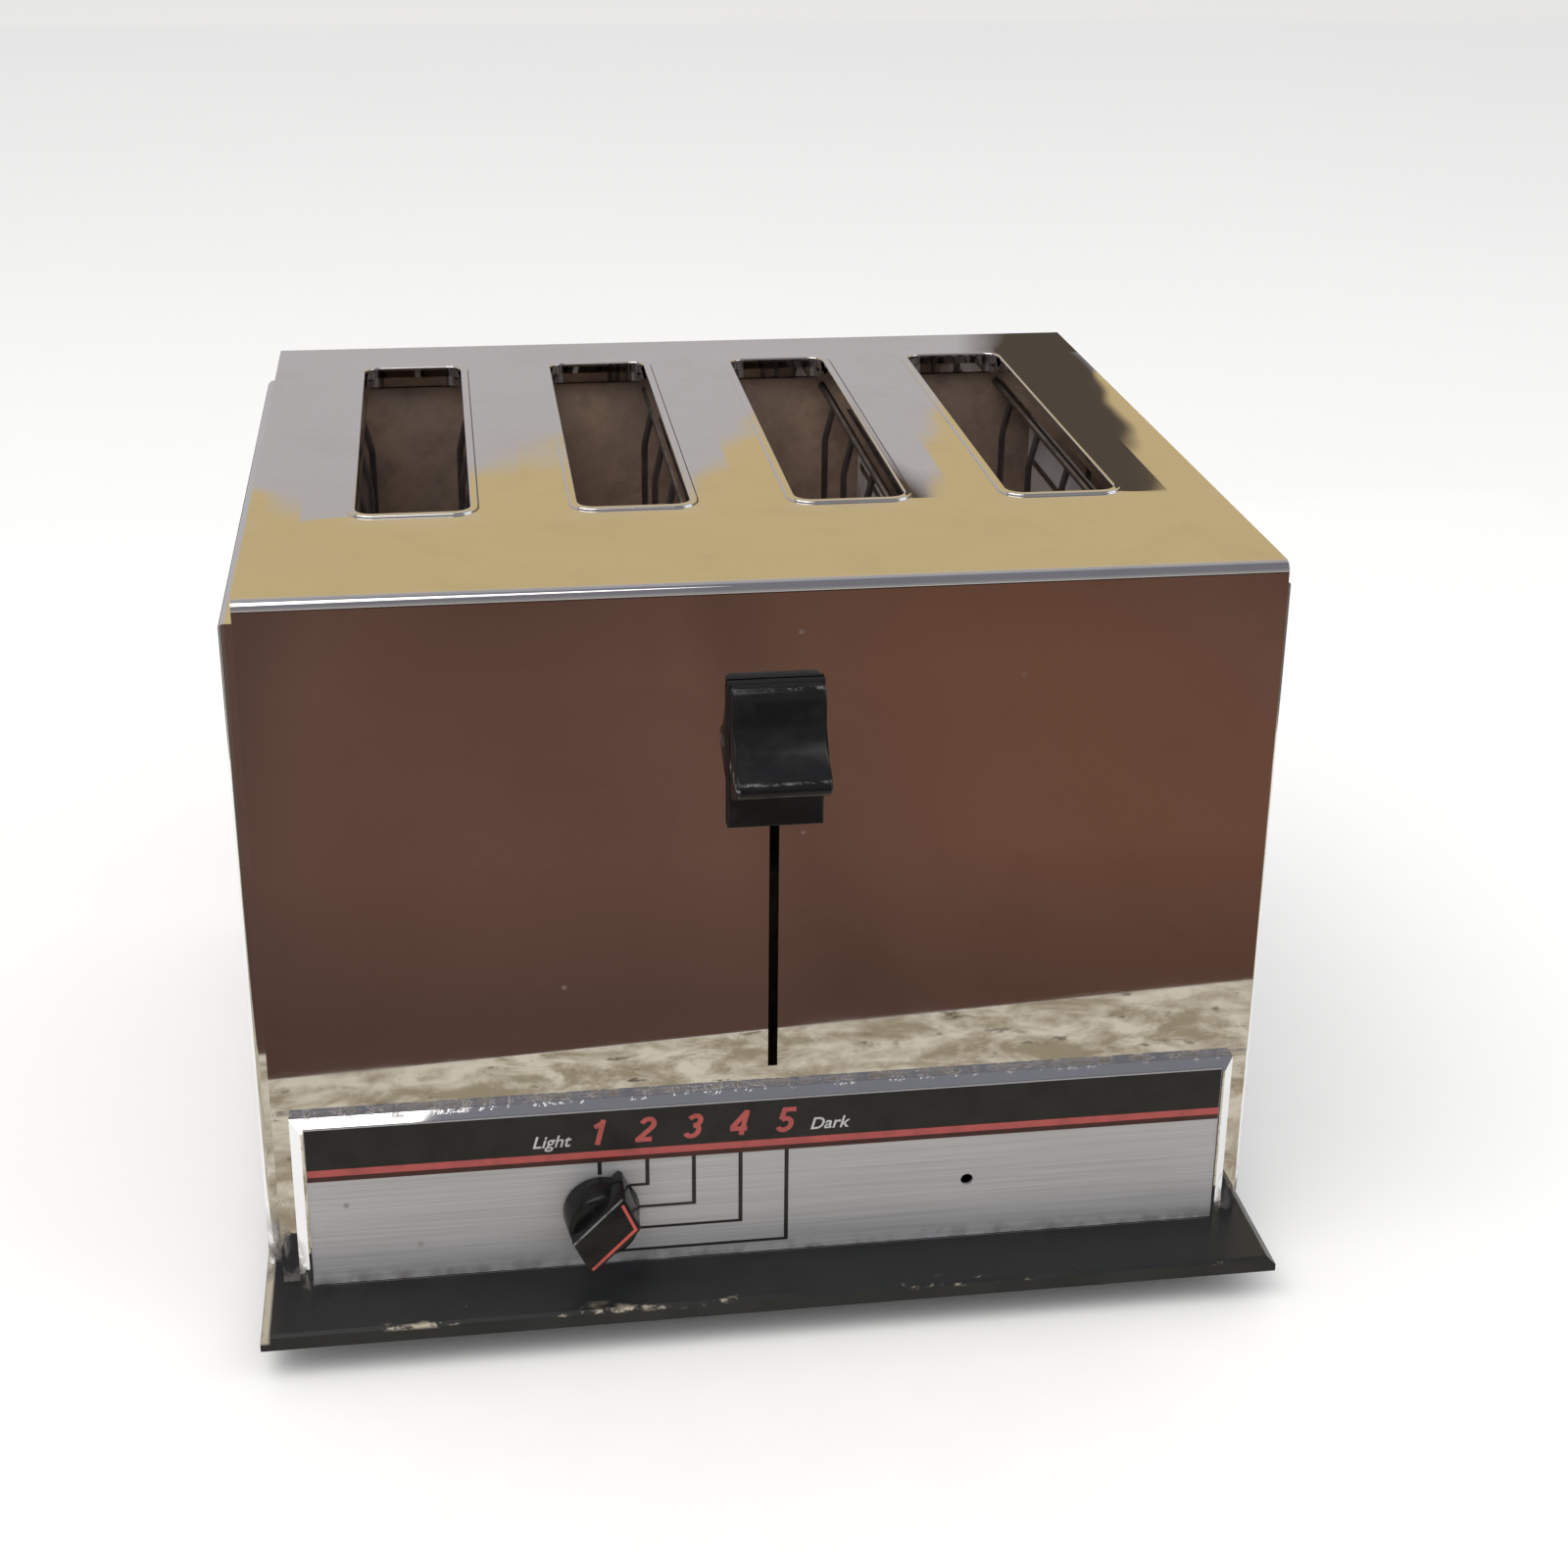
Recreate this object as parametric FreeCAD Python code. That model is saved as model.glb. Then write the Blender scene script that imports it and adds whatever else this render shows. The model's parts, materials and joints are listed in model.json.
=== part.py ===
"""Four-slot pop-up toaster: chrome wrap, side pans, control panel, base, chassis, heaters and lift carriage.

Millimetres, +Z up. The front faces -Y and the right side faces +X. The origin is at the middle of the
footprint, on the surface that the feet stand on.
"""
import FreeCAD, Part
import math
import os

Vector = FreeCAD.Vector

# ---------------------------------------------------------------- driving sizes
shell_height = 169.0
shell_side_margin = 12.0
sheet = 0.8
shell_bend_radius = 2.5
shell_return = 7.3

slot_count = 4
slot_length = 134.0
slot_width = 26.3
slot_pitch = 51.5
slot_front_margin = 56.0
slot_back_margin = 27.0
slot_corner_radius = 4.0
slot_rim_depth = 5.0
bead_width = 2.2
bead_height = 0.6
bead_round = 0.5

pan_stand_out = 3.8
pan_tuck = 3.0
pan_corner_radius = 1.5

base_side_overhang = 0.7
base_front_overhang = 20.5
base_back_overhang = 5.5
base_thickness = 4.0
base_bevel = 0.7
base_side_bevel = 2.2

foot_height = 8.0
foot_radius = 9.0
foot_taper = 1.0
foot_web = 3.0
foot_inset_x = 22.0
foot_inset_front = 22.0
foot_inset_back = 18.0

panel_side_margin = 4.0
panel_height = 45.0
panel_depth = 4.5
panel_bevel = 2.5
panel_border = 3.0
panel_head_border = 1.8
panel_foot_border = 1.4
faceplate_thickness = 0.8
faceplate_recess = 0.3
ledge_width = 4.0
indicator_x = 46.5
indicator_height = 17.3
indicator_radius = 1.5

dial_x = -40.8
dial_height = 16.8
dial_skirt_radius = 9.0
dial_skirt_front_radius = 8.0
dial_skirt_thickness = 7.9
dial_reach = 12.1
dial_bar_length = 19.6
dial_bar_width = 9.0
dial_bar_slant = 3.5
dial_pointer_degrees = 45.0
dial_shaft_radius = 3.0
dial_neck_radius = 4.7
dial_collar_radius = 7.0
dial_collar_thickness = 2.0
control_body_width = 24.0
control_body_height = 22.0
control_body_depth = 14.0
control_round = 1.5
shaft_end_gap = 2.0
shaft_in_knob = 4.0

lever_slot_width = 2.2
lever_slot_above_panel = 4.6
lever_slot_head_gap = 1.5
lever_arm_thickness = 1.4
lever_arm_height = 7.0
lever_arm_below_plate_top = 21.8
lever_arm_in_knob = 6.0
lever_riser_set = 2.0
lever_riser_depth = 8.0
lever_tab_reach = 9.0
lever_plate_width = 21.6
lever_plate_height = 34.8
lever_plate_below_top = 22.2
lever_plate_thickness = 1.8
lever_plate_round = 0.6
lever_plate_stop_gap = 3.0
lever_knob_head_gap = 0.3
lever_knob_width = 20.8
lever_knob_reach = 14.8
lever_knob_back = 4.4
lever_lip_below_plate_top = 18.0
lever_lip_height = 3.2
lever_crook_height = 6.7
knob_head_bevel = 1.2
knob_face_lean = 0.3
knob_crook_rise = 2.6
knob_crook_reach = 2.2
knob_lip_bevel = 1.0
knob_lip_crown = 0.4
knob_lip_drop = 0.8
knob_under_bevel = 1.4
knob_under_drop = 0.6
knob_under_slope = 5.6

chassis_thickness = 1.0
base_screw_end = 1.0
chassis_front_gap = 5.0
chassis_rear_gap = 4.0
chassis_top_gap = 6.5
chassis_side_gap = 4.0
chassis_front_foot = 4.5
chassis_rear_foot = 10.0
shield_thickness = 0.6
shield_side_gap = 7.0

card_thickness = 0.8
card_bottom = 10.0
card_below_top = 11.0
ribbon_thickness = 0.25
ribbon_height = 2.0
ribbon_rows = 9
ribbon_foot_margin = 14.0
ribbon_head_margin = 22.0
ribbon_end_gap = 5.0

guard_wire_radius = 0.9
guard_rail_radius = 1.1
guard_offset = 12.0
guard_flare = 2.4
guard_below_top = 9.0
guard_flare_height = 10.0
guard_bottom = 8.0
guard_wire_count = 4
guard_wire_pitch = 33.0
guard_bend_radius = 14.0

rack_bar_thickness = 1.6
rack_bar_height = 7.0
rack_low = 10.0
rack_finger_radius = 1.0
rack_finger_reach = 9.8
rack_finger_count = 5
rack_finger_pitch = 27.0
rack_slot_gap = 1.0
rack_slot_end_gap = 1.5

crosshead_setback = 46.0
crosshead_web = 3.0
crosshead_flange_depth = 14.0
crosshead_flange_thickness = 3.0
crosshead_overhang = 10.7
crosshead_lip = 1.0
rear_link_gap = 3.0
rear_link_thickness = 2.0
link_margin = 3.0

guide_rod_radius = 3.0
guide_rod_inset = 22.0
guide_bush_radius = 5.0
guide_bush_height = 11.0
bracket_thickness = 1.5
bracket_rod_overhang = 10.0
bracket_boss_radius = 6.0
bracket_boss_height = 2.5
top_bracket_below_top = 21.0
top_bracket_flange = 11.0
guide_rod_end = 2.0

spring_x = 42.0
spring_radius = 3.2
spring_wire_radius = 0.45
spring_turns = 13
spring_end_gap = 0.6

magnet_x = 24.0
magnet_span = 22.0
magnet_leg = 5.0
magnet_margin = 1.0
magnet_yoke = 2.5
coil_head_gap = 1.2
coil_wall = 2.4
armature_thickness = 2.0
switch_x = -24.0
switch_length = 26.0
switch_depth = 9.0
switch_height = 8.0
switch_round = 1.2
switch_groove = 3.0
contact_length = 10.0
contact_inset = 1.0
contact_button_radius = 1.1
contact_button_height = 1.2
contact_thickness = 0.5
contact_width = 3.2

door_side_gap = 19.0
door_front_gap = 5.0
door_rear_gap = 4.0
door_clearance = 0.6
door_rim = 2.8
door_tab_width = 26.0
door_tab_reach = 7.0
door_tab_thickness = 0.8
door_tab_drop = 0.3
hinge_drop = 2.6
hinge_pin_radius = 1.2
hinge_knuckle_radius = 2.2
hinge_knuckle_length = 20.0
hinge_knuckle_inset = 32.0
hinge_lug_length = 15.0
hinge_strap_half = 1.0

bus_bars_below_top = (67.0, 27.0)
bus_bar_offset = 9.0
bus_bar_height = 6.0
bus_bar_thickness = 0.8
bus_post_radius = 1.5
bus_post_end = 1.0
terminal_inset = 20.0
terminal_length = 24.0
terminal_depth = 8.0
terminal_height = 12.0
terminal_round = 1.0
terminal_wells = 3
terminal_well_radius = 2.0
terminal_well_depth = 4.0
cord_height = 18.0
cord_bore_radius = 3.6
cord_neck_radius = 5.6
cord_flange_radius = 7.6
cord_flange_thickness = 2.2
cord_flange_round = 0.9

screw_radius = 1.6
screw_head_radius = 3.0
screw_head_height = 1.6
screw_recess_width = 0.8
screw_recess_length = 3.6
screw_recess_depth = 0.9

# ---------------------------------------------------------------- named clearances
seam_gap = 0.1
running_gap = 0.05
press_gap = 0.02
panel_fit = 0.15
sliding_gap = 0.4
air_gap = 0.4
arm_fit = 0.05
past = 1.0
upright_share = 0.9
hair = 0.01

# ---------------------------------------------------------------- places worked out from the sizes
deck_z = foot_height + base_thickness
base_bottom = foot_height
shell_top = deck_z + shell_height
shell_width = slot_count * slot_pitch + 2 * shell_side_margin
shell_depth = slot_front_margin + slot_length + slot_back_margin
panel_width = shell_width - 2 * panel_side_margin
base_width = shell_width + 2 * (pan_stand_out + base_side_overhang)
base_depth = base_front_overhang + shell_depth + base_back_overhang
base_front_y = -base_depth / 2
base_back_y = base_depth / 2
front_y = base_front_y + base_front_overhang
back_y = front_y + shell_depth
half_shell = shell_width / 2

slot_front_y = front_y + slot_front_margin
slot_back_y = slot_front_y + slot_length
slot_xs = [(i - (slot_count - 1) / 2) * slot_pitch for i in range(slot_count)]
wall_xs = [(i - slot_count / 2) * slot_pitch for i in range(slot_count + 1)]

chassis_front_y = slot_front_y - chassis_front_gap
chassis_rear_y = slot_back_y + chassis_rear_gap
chassis_half = half_shell - chassis_side_gap
chassis_top = shell_top - chassis_top_gap
plate_inside_front = chassis_front_y
plate_inside_rear = chassis_rear_y

card_top = shell_height - card_below_top
guard_top = shell_height - guard_below_top
guard_knee = guard_top - guard_flare_height
ribbon_first = card_bottom + ribbon_foot_margin
ribbon_pitch = (card_top - ribbon_head_margin - ribbon_first) / (ribbon_rows - 1)

lever_plate_top = shell_height - lever_plate_below_top
lever_plate_bottom = lever_plate_top - lever_plate_height
lever_travel = lever_plate_bottom - panel_height - lever_plate_stop_gap
lever_arm_rest = lever_plate_top - lever_arm_below_plate_top
lever_slot_bottom = panel_height + lever_slot_above_panel

rack_rest = deck_z + rack_low + lever_travel
rack_front_y = front_y + crosshead_setback
crosshead_top = rack_rest + rack_bar_height + crosshead_flange_thickness
crosshead_half = slot_xs[-1] + crosshead_overhang
guide_rod_x = crosshead_half - guide_rod_inset
magnet_height = rack_low + rack_bar_height - armature_thickness - bracket_thickness - air_gap
rod_y = rack_front_y - crosshead_web - (crosshead_flange_depth - crosshead_web) / 2
rear_link_y = chassis_rear_y + chassis_thickness + rear_link_gap
top_bracket_z = shell_top - top_bracket_below_top

faceplate_front_y = front_y - panel_depth + faceplate_recess
faceplate_back_y = faceplate_front_y + faceplate_thickness
dial_z = deck_z + dial_height
dial_skirt_back = faceplate_front_y - air_gap
dial_front_y = dial_skirt_back - dial_reach
lever_plate_back = front_y - sliding_gap
lever_plate_front = lever_plate_back - lever_plate_thickness

door_half_width = chassis_half - door_side_gap
hinge_knuckle_x = door_half_width - hinge_knuckle_inset
cord_x = (slot_xs[-1] + slot_xs[-2]) / 2
terminal_x = cord_x - terminal_inset
door_front_y = chassis_front_y + door_front_gap
door_rear_y = chassis_rear_y - door_rear_gap
hinge_y = door_rear_y + hinge_drop
hinge_z = base_bottom - hinge_drop


# ---------------------------------------------------------------- helpers
def block(x0, x1, y0, y1, z0, z1):
    """A box between two corners."""
    return Part.makeBox(x1 - x0, y1 - y0, z1 - z0, Vector(x0, y0, z0))


def rod(radius, start, end):
    """A round bar between two points."""
    first = Vector(*start)
    along = Vector(*end) - first
    return Part.makeCylinder(radius, along.Length, first, along)


def rounded_column(x0, x1, y0, y1, z0, z1, radius):
    """A box whose four upright edges are rounded."""
    column = block(x0, x1, y0, y1, z0, z1)
    limit = min(x1 - x0, y1 - y0) / 2 - hair
    uprights = [edge for edge in column.Edges if abs(edge.tangentAt(edge.FirstParameter).z) > upright_share]
    return column.makeFillet(min(radius, limit), uprights)


def extruded_outline(points, x0, x1):
    """A closed outline of (y, z) points, extruded along X."""
    corners = [Vector(x0, y, z) for y, z in points]
    face = Part.Face(Part.makePolygon(corners + corners[:1]))
    return face.extrude(Vector(x1 - x0, 0, 0))


def edges_where(shape, test):
    """The edges whose box passes a test."""
    return [edge for edge in shape.Edges if test(edge.BoundBox)]


def fused(first, *others):
    """One solid from touching solids, with shared seams removed."""
    return first.multiFuse(list(others)).removeSplitter()


def save(name, *solids):
    """Write one node, as one solid or a group of separate ones."""
    shape = solids[0] if len(solids) == 1 else Part.makeCompound(list(solids))
    for solid in shape.Solids:
        if not solid.isValid():
            raise ValueError("invalid solid in " + name)
    shape.exportStep("parts/%s.step" % name)


def screw(x, y, head_bottom, tip):
    """A cross-recessed screw pointing up."""
    neck = head_bottom + screw_head_height
    head = Part.makeCylinder(screw_head_radius, screw_head_height, Vector(x, y, head_bottom))
    shank = Part.makeCylinder(screw_radius, tip - neck, Vector(x, y, neck))
    long = screw_recess_length / 2
    narrow = screw_recess_width / 2
    z0 = head_bottom - 1
    z1 = head_bottom + screw_recess_depth
    solid = fused(head, shank)
    solid = solid.cut(block(x - long, x + long, y - narrow, y + narrow, z0, z1))
    return solid.cut(block(x - narrow, x + narrow, y - long, y + long, z0, z1))


# ---------------------------------------------------------------- casing
def wrap_block(inset, half, bottom, radius):
    """The wrap's side outline, inset all round, with rounded front and back bends."""
    solid = block(-half, half, front_y + inset, back_y - inset, bottom, shell_top - inset)
    if radius <= 0:
        return solid
    bends = edges_where(solid, lambda b: b.XLength > half and b.ZMin > shell_top - inset - hair)
    return solid.makeFillet(radius, bends)


def slot_column(x, grow, z0, z1):
    """An upright column through one bread slot, grown all round."""
    reach = slot_width / 2 + grow
    radius = slot_corner_radius + grow
    return rounded_column(x - reach, x + reach, slot_front_y - grow, slot_back_y + grow, z0, z1, radius)


def slot_rim(x):
    """The turned-down flange and the raised bead round one bread slot."""
    flange = slot_column(x, sheet, shell_top - slot_rim_depth, shell_top)
    bead = slot_column(x, bead_width, shell_top - sheet, shell_top + bead_height)
    hole = slot_column(x, 0, shell_top - slot_rim_depth - past, shell_top + bead_height + past)
    ring = bead.cut(hole)
    top_edges = edges_where(ring, lambda b: b.ZMin > shell_top + bead_height - hair)
    return fused(flange.cut(hole), ring.makeFillet(bead_round, top_edges))


def outer_shell():
    solid = wrap_block(0, half_shell, deck_z, shell_bend_radius)
    inside = wrap_block(sheet, half_shell - sheet, deck_z - past, shell_bend_radius - sheet)
    sides = wrap_block(shell_return, half_shell + past, deck_z - past, 0)
    solid = solid.cut(inside).cut(sides)
    for x in slot_xs:
        solid = solid.cut(slot_column(x, 0, shell_top - 2 * sheet, shell_top + past))
        solid = solid.fuse(slot_rim(x))
    lever_top = deck_z + lever_arm_rest + lever_arm_height + lever_slot_head_gap
    half_slot = lever_slot_width / 2
    lever_bottom = deck_z + lever_slot_bottom
    through_front = (front_y - past, front_y + 2 * sheet)
    solid = solid.cut(block(-half_slot, half_slot, *through_front, lever_bottom, lever_top))
    for x, z, radius in (
        (dial_x, dial_z, dial_neck_radius + press_gap),
        (indicator_x, deck_z + indicator_height, indicator_radius),
    ):
        solid = solid.cut(rod(radius, (x, through_front[0], z), (x, through_front[1], z)))
    cord_z = deck_z + cord_height
    inner_end = (cord_x, back_y - 2 * sheet, cord_z)
    cord_hole = rod(cord_neck_radius + press_gap, inner_end, (cord_x, back_y + past, cord_z))
    return solid.cut(cord_hole).removeSplitter()


def side_panel(side):
    setback = shell_return + seam_gap
    inner = half_shell - pan_tuck
    outer = half_shell + pan_stand_out
    front = front_y + setback
    back = back_y - setback
    top = shell_top - setback
    solid = block(inner, outer, front, back, deck_z, top)
    rims = edges_where(
        solid,
        lambda b: b.XMin > outer - hair and (b.ZLength > 1 or (b.YLength > 1 and b.ZMin > top - hair)),
    )
    solid = solid.makeFillet(pan_corner_radius, rims)
    hollow = block(inner - past, outer - sheet, front + sheet, back - sheet, deck_z - past, top - sheet)
    solid = solid.cut(hollow)
    if side < 0:
        solid = solid.mirror(Vector(0, 0, 0), Vector(1, 0, 0))
    return solid


def control_bezel():
    half = panel_width / 2
    top = deck_z + panel_height
    face = front_y - panel_depth
    solid = block(-half, half, face, front_y, deck_z, top)
    corners = edges_where(
        solid,
        lambda b: b.YMax < face + hair and (b.ZLength > 1 or b.ZMin > top - hair),
    )
    solid = solid.makeChamfer(panel_bevel, corners)
    inside = half - panel_border
    sill = deck_z + panel_foot_border
    head = top - panel_head_border
    pocket = block(-inside, inside, face - past, faceplate_back_y, sill, head)
    window = block(
        ledge_width - inside,
        inside - ledge_width,
        face - past,
        front_y + past,
        sill + ledge_width,
        head - ledge_width,
    )
    return solid.cut(pocket).cut(window)


def control_faceplate():
    inside = panel_width / 2 - panel_border - panel_fit
    sill = deck_z + panel_foot_border + panel_fit
    head = deck_z + panel_height - panel_head_border - panel_fit
    plate = block(-inside, inside, faceplate_front_y, faceplate_back_y, sill, head)
    for x, z, radius in (
        (dial_x, dial_z, dial_neck_radius + panel_fit),
        (indicator_x, deck_z + indicator_height, indicator_radius),
    ):
        plate = plate.cut(rod(radius, (x, faceplate_front_y - past, z), (x, faceplate_back_y + past, z)))
    return plate


foot_places = {
    "foot_front_left": (-1, -1),
    "foot_front_right": (1, -1),
    "foot_rear_left": (-1, 1),
    "foot_rear_right": (1, 1),
}


def foot_xy(side, end):
    x = side * (base_width / 2 - foot_inset_x)
    y = base_front_y + foot_inset_front if end < 0 else base_back_y - foot_inset_back
    return x, y


def foot(side, end):
    x, y = foot_xy(side, end)
    body = Part.makeCone(foot_radius - foot_taper, foot_radius, foot_height, Vector(x, y, 0))
    below = Vector(x, y, -past)
    recess = Part.makeCylinder(screw_head_radius + air_gap, foot_height - foot_web + past, below)
    hole = Part.makeCylinder(screw_radius + press_gap, foot_height + 2 * past, below)
    return body.cut(recess).cut(hole)


def base_screw_places():
    front = chassis_front_y + chassis_front_foot / 2
    rear = chassis_rear_y + chassis_thickness + chassis_rear_foot / 2
    outer = door_half_width + (chassis_half - door_half_width) / 2
    return [(-outer, front), (outer, front), (-outer, rear), (outer, rear), (0, rear)]


def hinge_lug(side):
    near = hinge_knuckle_x + hinge_knuckle_length / 2 + air_gap
    x0 = side * near
    x1 = side * (near + hinge_lug_length)
    low, high = min(x0, x1), max(x0, x1)
    reach = hinge_knuckle_radius
    lug = block(low, high, hinge_y - reach, hinge_y + reach, hinge_z, base_bottom)
    barrel = rod(reach, (low, hinge_y, hinge_z), (high, hinge_y, hinge_z))
    bore = rod(hinge_pin_radius + press_gap, (low - past, hinge_y, hinge_z), (high + past, hinge_y, hinge_z))
    return lug.fuse(barrel).cut(bore)


def base_plate():
    half = base_width / 2
    solid = block(-half, half, base_front_y, base_back_y, base_bottom, deck_z)
    sides = edges_where(solid, lambda b: b.ZMin > deck_z - hair and b.YLength > past)
    solid = solid.makeChamfer(base_side_bevel, sides)
    ends = edges_where(solid, lambda b: b.ZMin > deck_z - hair and b.XLength > past)
    ends = [edge for edge in ends if abs(edge.BoundBox.YMax) > base_depth / 2 - hair]
    solid = solid.makeChamfer(base_bevel, ends)
    through_base = (base_bottom - past, deck_z + past)
    window = block(-door_half_width, door_half_width, door_front_y, door_rear_y, *through_base)
    solid = solid.cut(window)
    for side in (-1, 1):
        solid = solid.fuse(hinge_lug(side))
    holes = [foot_xy(*place) for place in foot_places.values()] + base_screw_places()
    for x, y in holes:
        place = Vector(x, y, base_bottom - past)
        solid = solid.cut(Part.makeCylinder(screw_radius + press_gap, base_thickness + 2 * past, place))
    for x, y in base_screw_places():
        place = Vector(x, y, base_bottom)
        solid = solid.cut(Part.makeCylinder(screw_head_radius + press_gap, screw_head_height, place))
    return solid.removeSplitter()


# ---------------------------------------------------------------- chassis and heaters
def chassis_plate(y0, foot_length):
    """A cross plate with one upright slot for each bread rack and a foot flange on the base."""
    y1 = y0 + chassis_thickness
    plate = block(-chassis_half, chassis_half, y0, y1, deck_z, chassis_top)
    flange = block(-chassis_half, chassis_half, y1, y1 + foot_length, deck_z, deck_z + chassis_thickness)
    solid = fused(plate, flange)
    reach = rack_bar_thickness / 2 + rack_slot_gap
    low = deck_z + rack_low - rack_slot_end_gap
    high = rack_rest + rack_bar_height + rack_slot_end_gap
    for x in slot_xs:
        solid = solid.cut(block(x - reach, x + reach, y0 - past, y1 + past, low, high))
    for x, y in base_screw_places():
        place = Vector(x, y, deck_z - past)
        solid = solid.cut(Part.makeCylinder(screw_radius + press_gap, chassis_thickness + 2 * past, place))
    return solid


def heat_shield(side):
    x0 = side * (half_shell - shield_side_gap)
    x1 = x0 - side * shield_thickness
    low = deck_z + chassis_thickness
    high = deck_z + card_top
    return block(min(x0, x1), max(x0, x1), plate_inside_front, plate_inside_rear, low, high)


def element_card(x):
    half = card_thickness / 2
    low = deck_z + card_bottom
    high = deck_z + card_top
    return block(x - half, x + half, plate_inside_front, plate_inside_rear, low, high)


def element_ribbon(index):
    """Flat heater strips, on each face of the card that looks into a bread slot."""
    x = wall_xs[index]
    faces = []
    if index > 0:
        faces.append(-1)
    if index < slot_count:
        faces.append(1)
    strips = []
    for face in faces:
        near = x + face * card_thickness / 2
        far = near + face * ribbon_thickness
        for row in range(ribbon_rows):
            z = deck_z + ribbon_first + row * ribbon_pitch
            strips.append(
                block(
                    min(near, far), max(near, far), plate_inside_front + ribbon_end_gap,
                    plate_inside_rear - ribbon_end_gap, z, z + ribbon_height,
                )
            )
    return strips


def guard_wire(x, side, y):
    """One upright wire whose top flares outward to the rail."""
    foot_point = Vector(x + side * guard_offset, y, deck_z + guard_bottom)
    knee = Vector(x + side * guard_offset, y, deck_z + guard_knee)
    top = Vector(x + side * (guard_offset + guard_flare), y, deck_z + guard_top)
    incoming = (knee - foot_point).normalize()
    outgoing = (top - knee).normalize()
    turn = math.acos(max(-1.0, min(1.0, incoming.dot(outgoing))))
    trim = guard_bend_radius * math.tan(turn / 2)
    arc_start = knee - incoming * trim
    arc_end = knee + outgoing * trim
    bow = (outgoing - incoming).normalize()
    centre_distance = guard_bend_radius / math.cos(turn / 2)
    arc_middle = knee + bow * (centre_distance - guard_bend_radius)
    path = Part.Wire(
        [
            Part.LineSegment(foot_point, arc_start).toShape(),
            Part.Arc(arc_start, arc_middle, arc_end).toShape(),
            Part.LineSegment(arc_end, top).toShape(),
        ]
    )
    section = Part.Wire([Part.makeCircle(guard_wire_radius, foot_point, incoming)])
    return path.makePipeShell([section], True, False)


def guard_grid(x, side):
    """The wires on one side of a bread slot, with the rails that hold them between the chassis plates."""
    middle = (slot_front_y + slot_back_y) / 2
    first = middle - (guard_wire_count - 1) / 2 * guard_wire_pitch
    wires = [guard_wire(x, side, first + i * guard_wire_pitch) for i in range(guard_wire_count)]
    rails = []
    for offset, z in (
        (guard_offset, deck_z + guard_bottom),
        (guard_offset + guard_flare, deck_z + guard_top),
    ):
        start = (x + side * offset, plate_inside_front, z)
        end = (x + side * offset, plate_inside_rear, z)
        rails.append(rod(guard_rail_radius, start, end))
    return rails[0].multiFuse(rails[1:] + wires)


def guard_wires(index):
    grids = []
    if index > 0:
        grids.append(guard_grid(slot_xs[index - 1], 1))
    if index < slot_count:
        grids.append(guard_grid(slot_xs[index], -1))
    return grids


# ---------------------------------------------------------------- lift carriage
def bread_rack(x):
    half = rack_bar_thickness / 2
    z1 = rack_rest + rack_bar_height
    solid = block(x - half, x + half, rack_front_y, rear_link_y, rack_rest, z1)
    middle = (slot_front_y + slot_back_y) / 2
    first = middle - (rack_finger_count - 1) / 2 * rack_finger_pitch
    for i in range(rack_finger_count):
        y = first + i * rack_finger_pitch
        z = z1 - rack_finger_radius
        finger = rod(rack_finger_radius, (x - rack_finger_reach, y, z), (x + rack_finger_reach, y, z))
        solid = solid.fuse(finger)
    return solid


def carriage_crosshead():
    web = block(
        -crosshead_half,
        crosshead_half,
        rack_front_y - crosshead_web,
        rack_front_y,
        rack_rest - crosshead_lip,
        crosshead_top,
    )
    flange = block(
        -crosshead_half,
        crosshead_half,
        rack_front_y - crosshead_flange_depth,
        rack_front_y,
        crosshead_top - crosshead_flange_thickness,
        crosshead_top,
    )
    solid = fused(web, flange)
    for side in (-1, 1):
        place = Vector(side * guide_rod_x, rod_y, rack_rest - crosshead_lip - past)
        depth = crosshead_top - place.z + past
        solid = solid.cut(Part.makeCylinder(guide_bush_radius, depth, place))
    return solid


def carriage_bushes():
    bushes = []
    middle = crosshead_top - crosshead_flange_thickness / 2
    for side in (-1, 1):
        start = Vector(side * guide_rod_x, rod_y, middle - guide_bush_height / 2)
        bush = Part.makeCylinder(guide_bush_radius, guide_bush_height, start)
        bore = Part.makeCylinder(guide_rod_radius + running_gap, guide_bush_height, start)
        bushes.append(bush.cut(bore))
    return bushes


def carriage_rear_link():
    half = slot_xs[-1] + link_margin
    return block(
        -half,
        half,
        rear_link_y,
        rear_link_y + rear_link_thickness,
        rack_rest - crosshead_lip,
        rack_rest + rack_bar_height + crosshead_lip,
    )


def arm_tip_y():
    return lever_plate_front - lever_arm_in_knob


def lever_arm():
    half = lever_arm_thickness / 2
    low = deck_z + lever_arm_rest
    riser_y = rack_front_y - crosshead_flange_depth + lever_riser_set
    riser_end = riser_y + lever_riser_depth
    strip = block(-half, half, arm_tip_y(), riser_end, low, low + lever_arm_height)
    riser = block(-half, half, riser_y, riser_end, crosshead_top, low + lever_arm_height)
    tab_top = crosshead_top + lever_arm_thickness
    tab = block(-half, lever_tab_reach, riser_y, riser_end, crosshead_top, tab_top)
    return fused(strip, riser, tab)


def arm_pocket():
    half = lever_arm_thickness / 2 + arm_fit
    low = deck_z + lever_arm_rest - arm_fit
    return block(-half, half, arm_tip_y() - arm_fit, front_y, low, low + lever_arm_height + 2 * arm_fit)


def lever_plate():
    half = lever_plate_width / 2
    low = deck_z + lever_plate_bottom
    plate = block(-half, half, lever_plate_front, lever_plate_back, low, deck_z + lever_plate_top)
    edges = edges_where(plate, lambda b: b.YMax < lever_plate_front + hair)
    return plate.makeFillet(lever_plate_round, edges).cut(arm_pocket())


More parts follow.
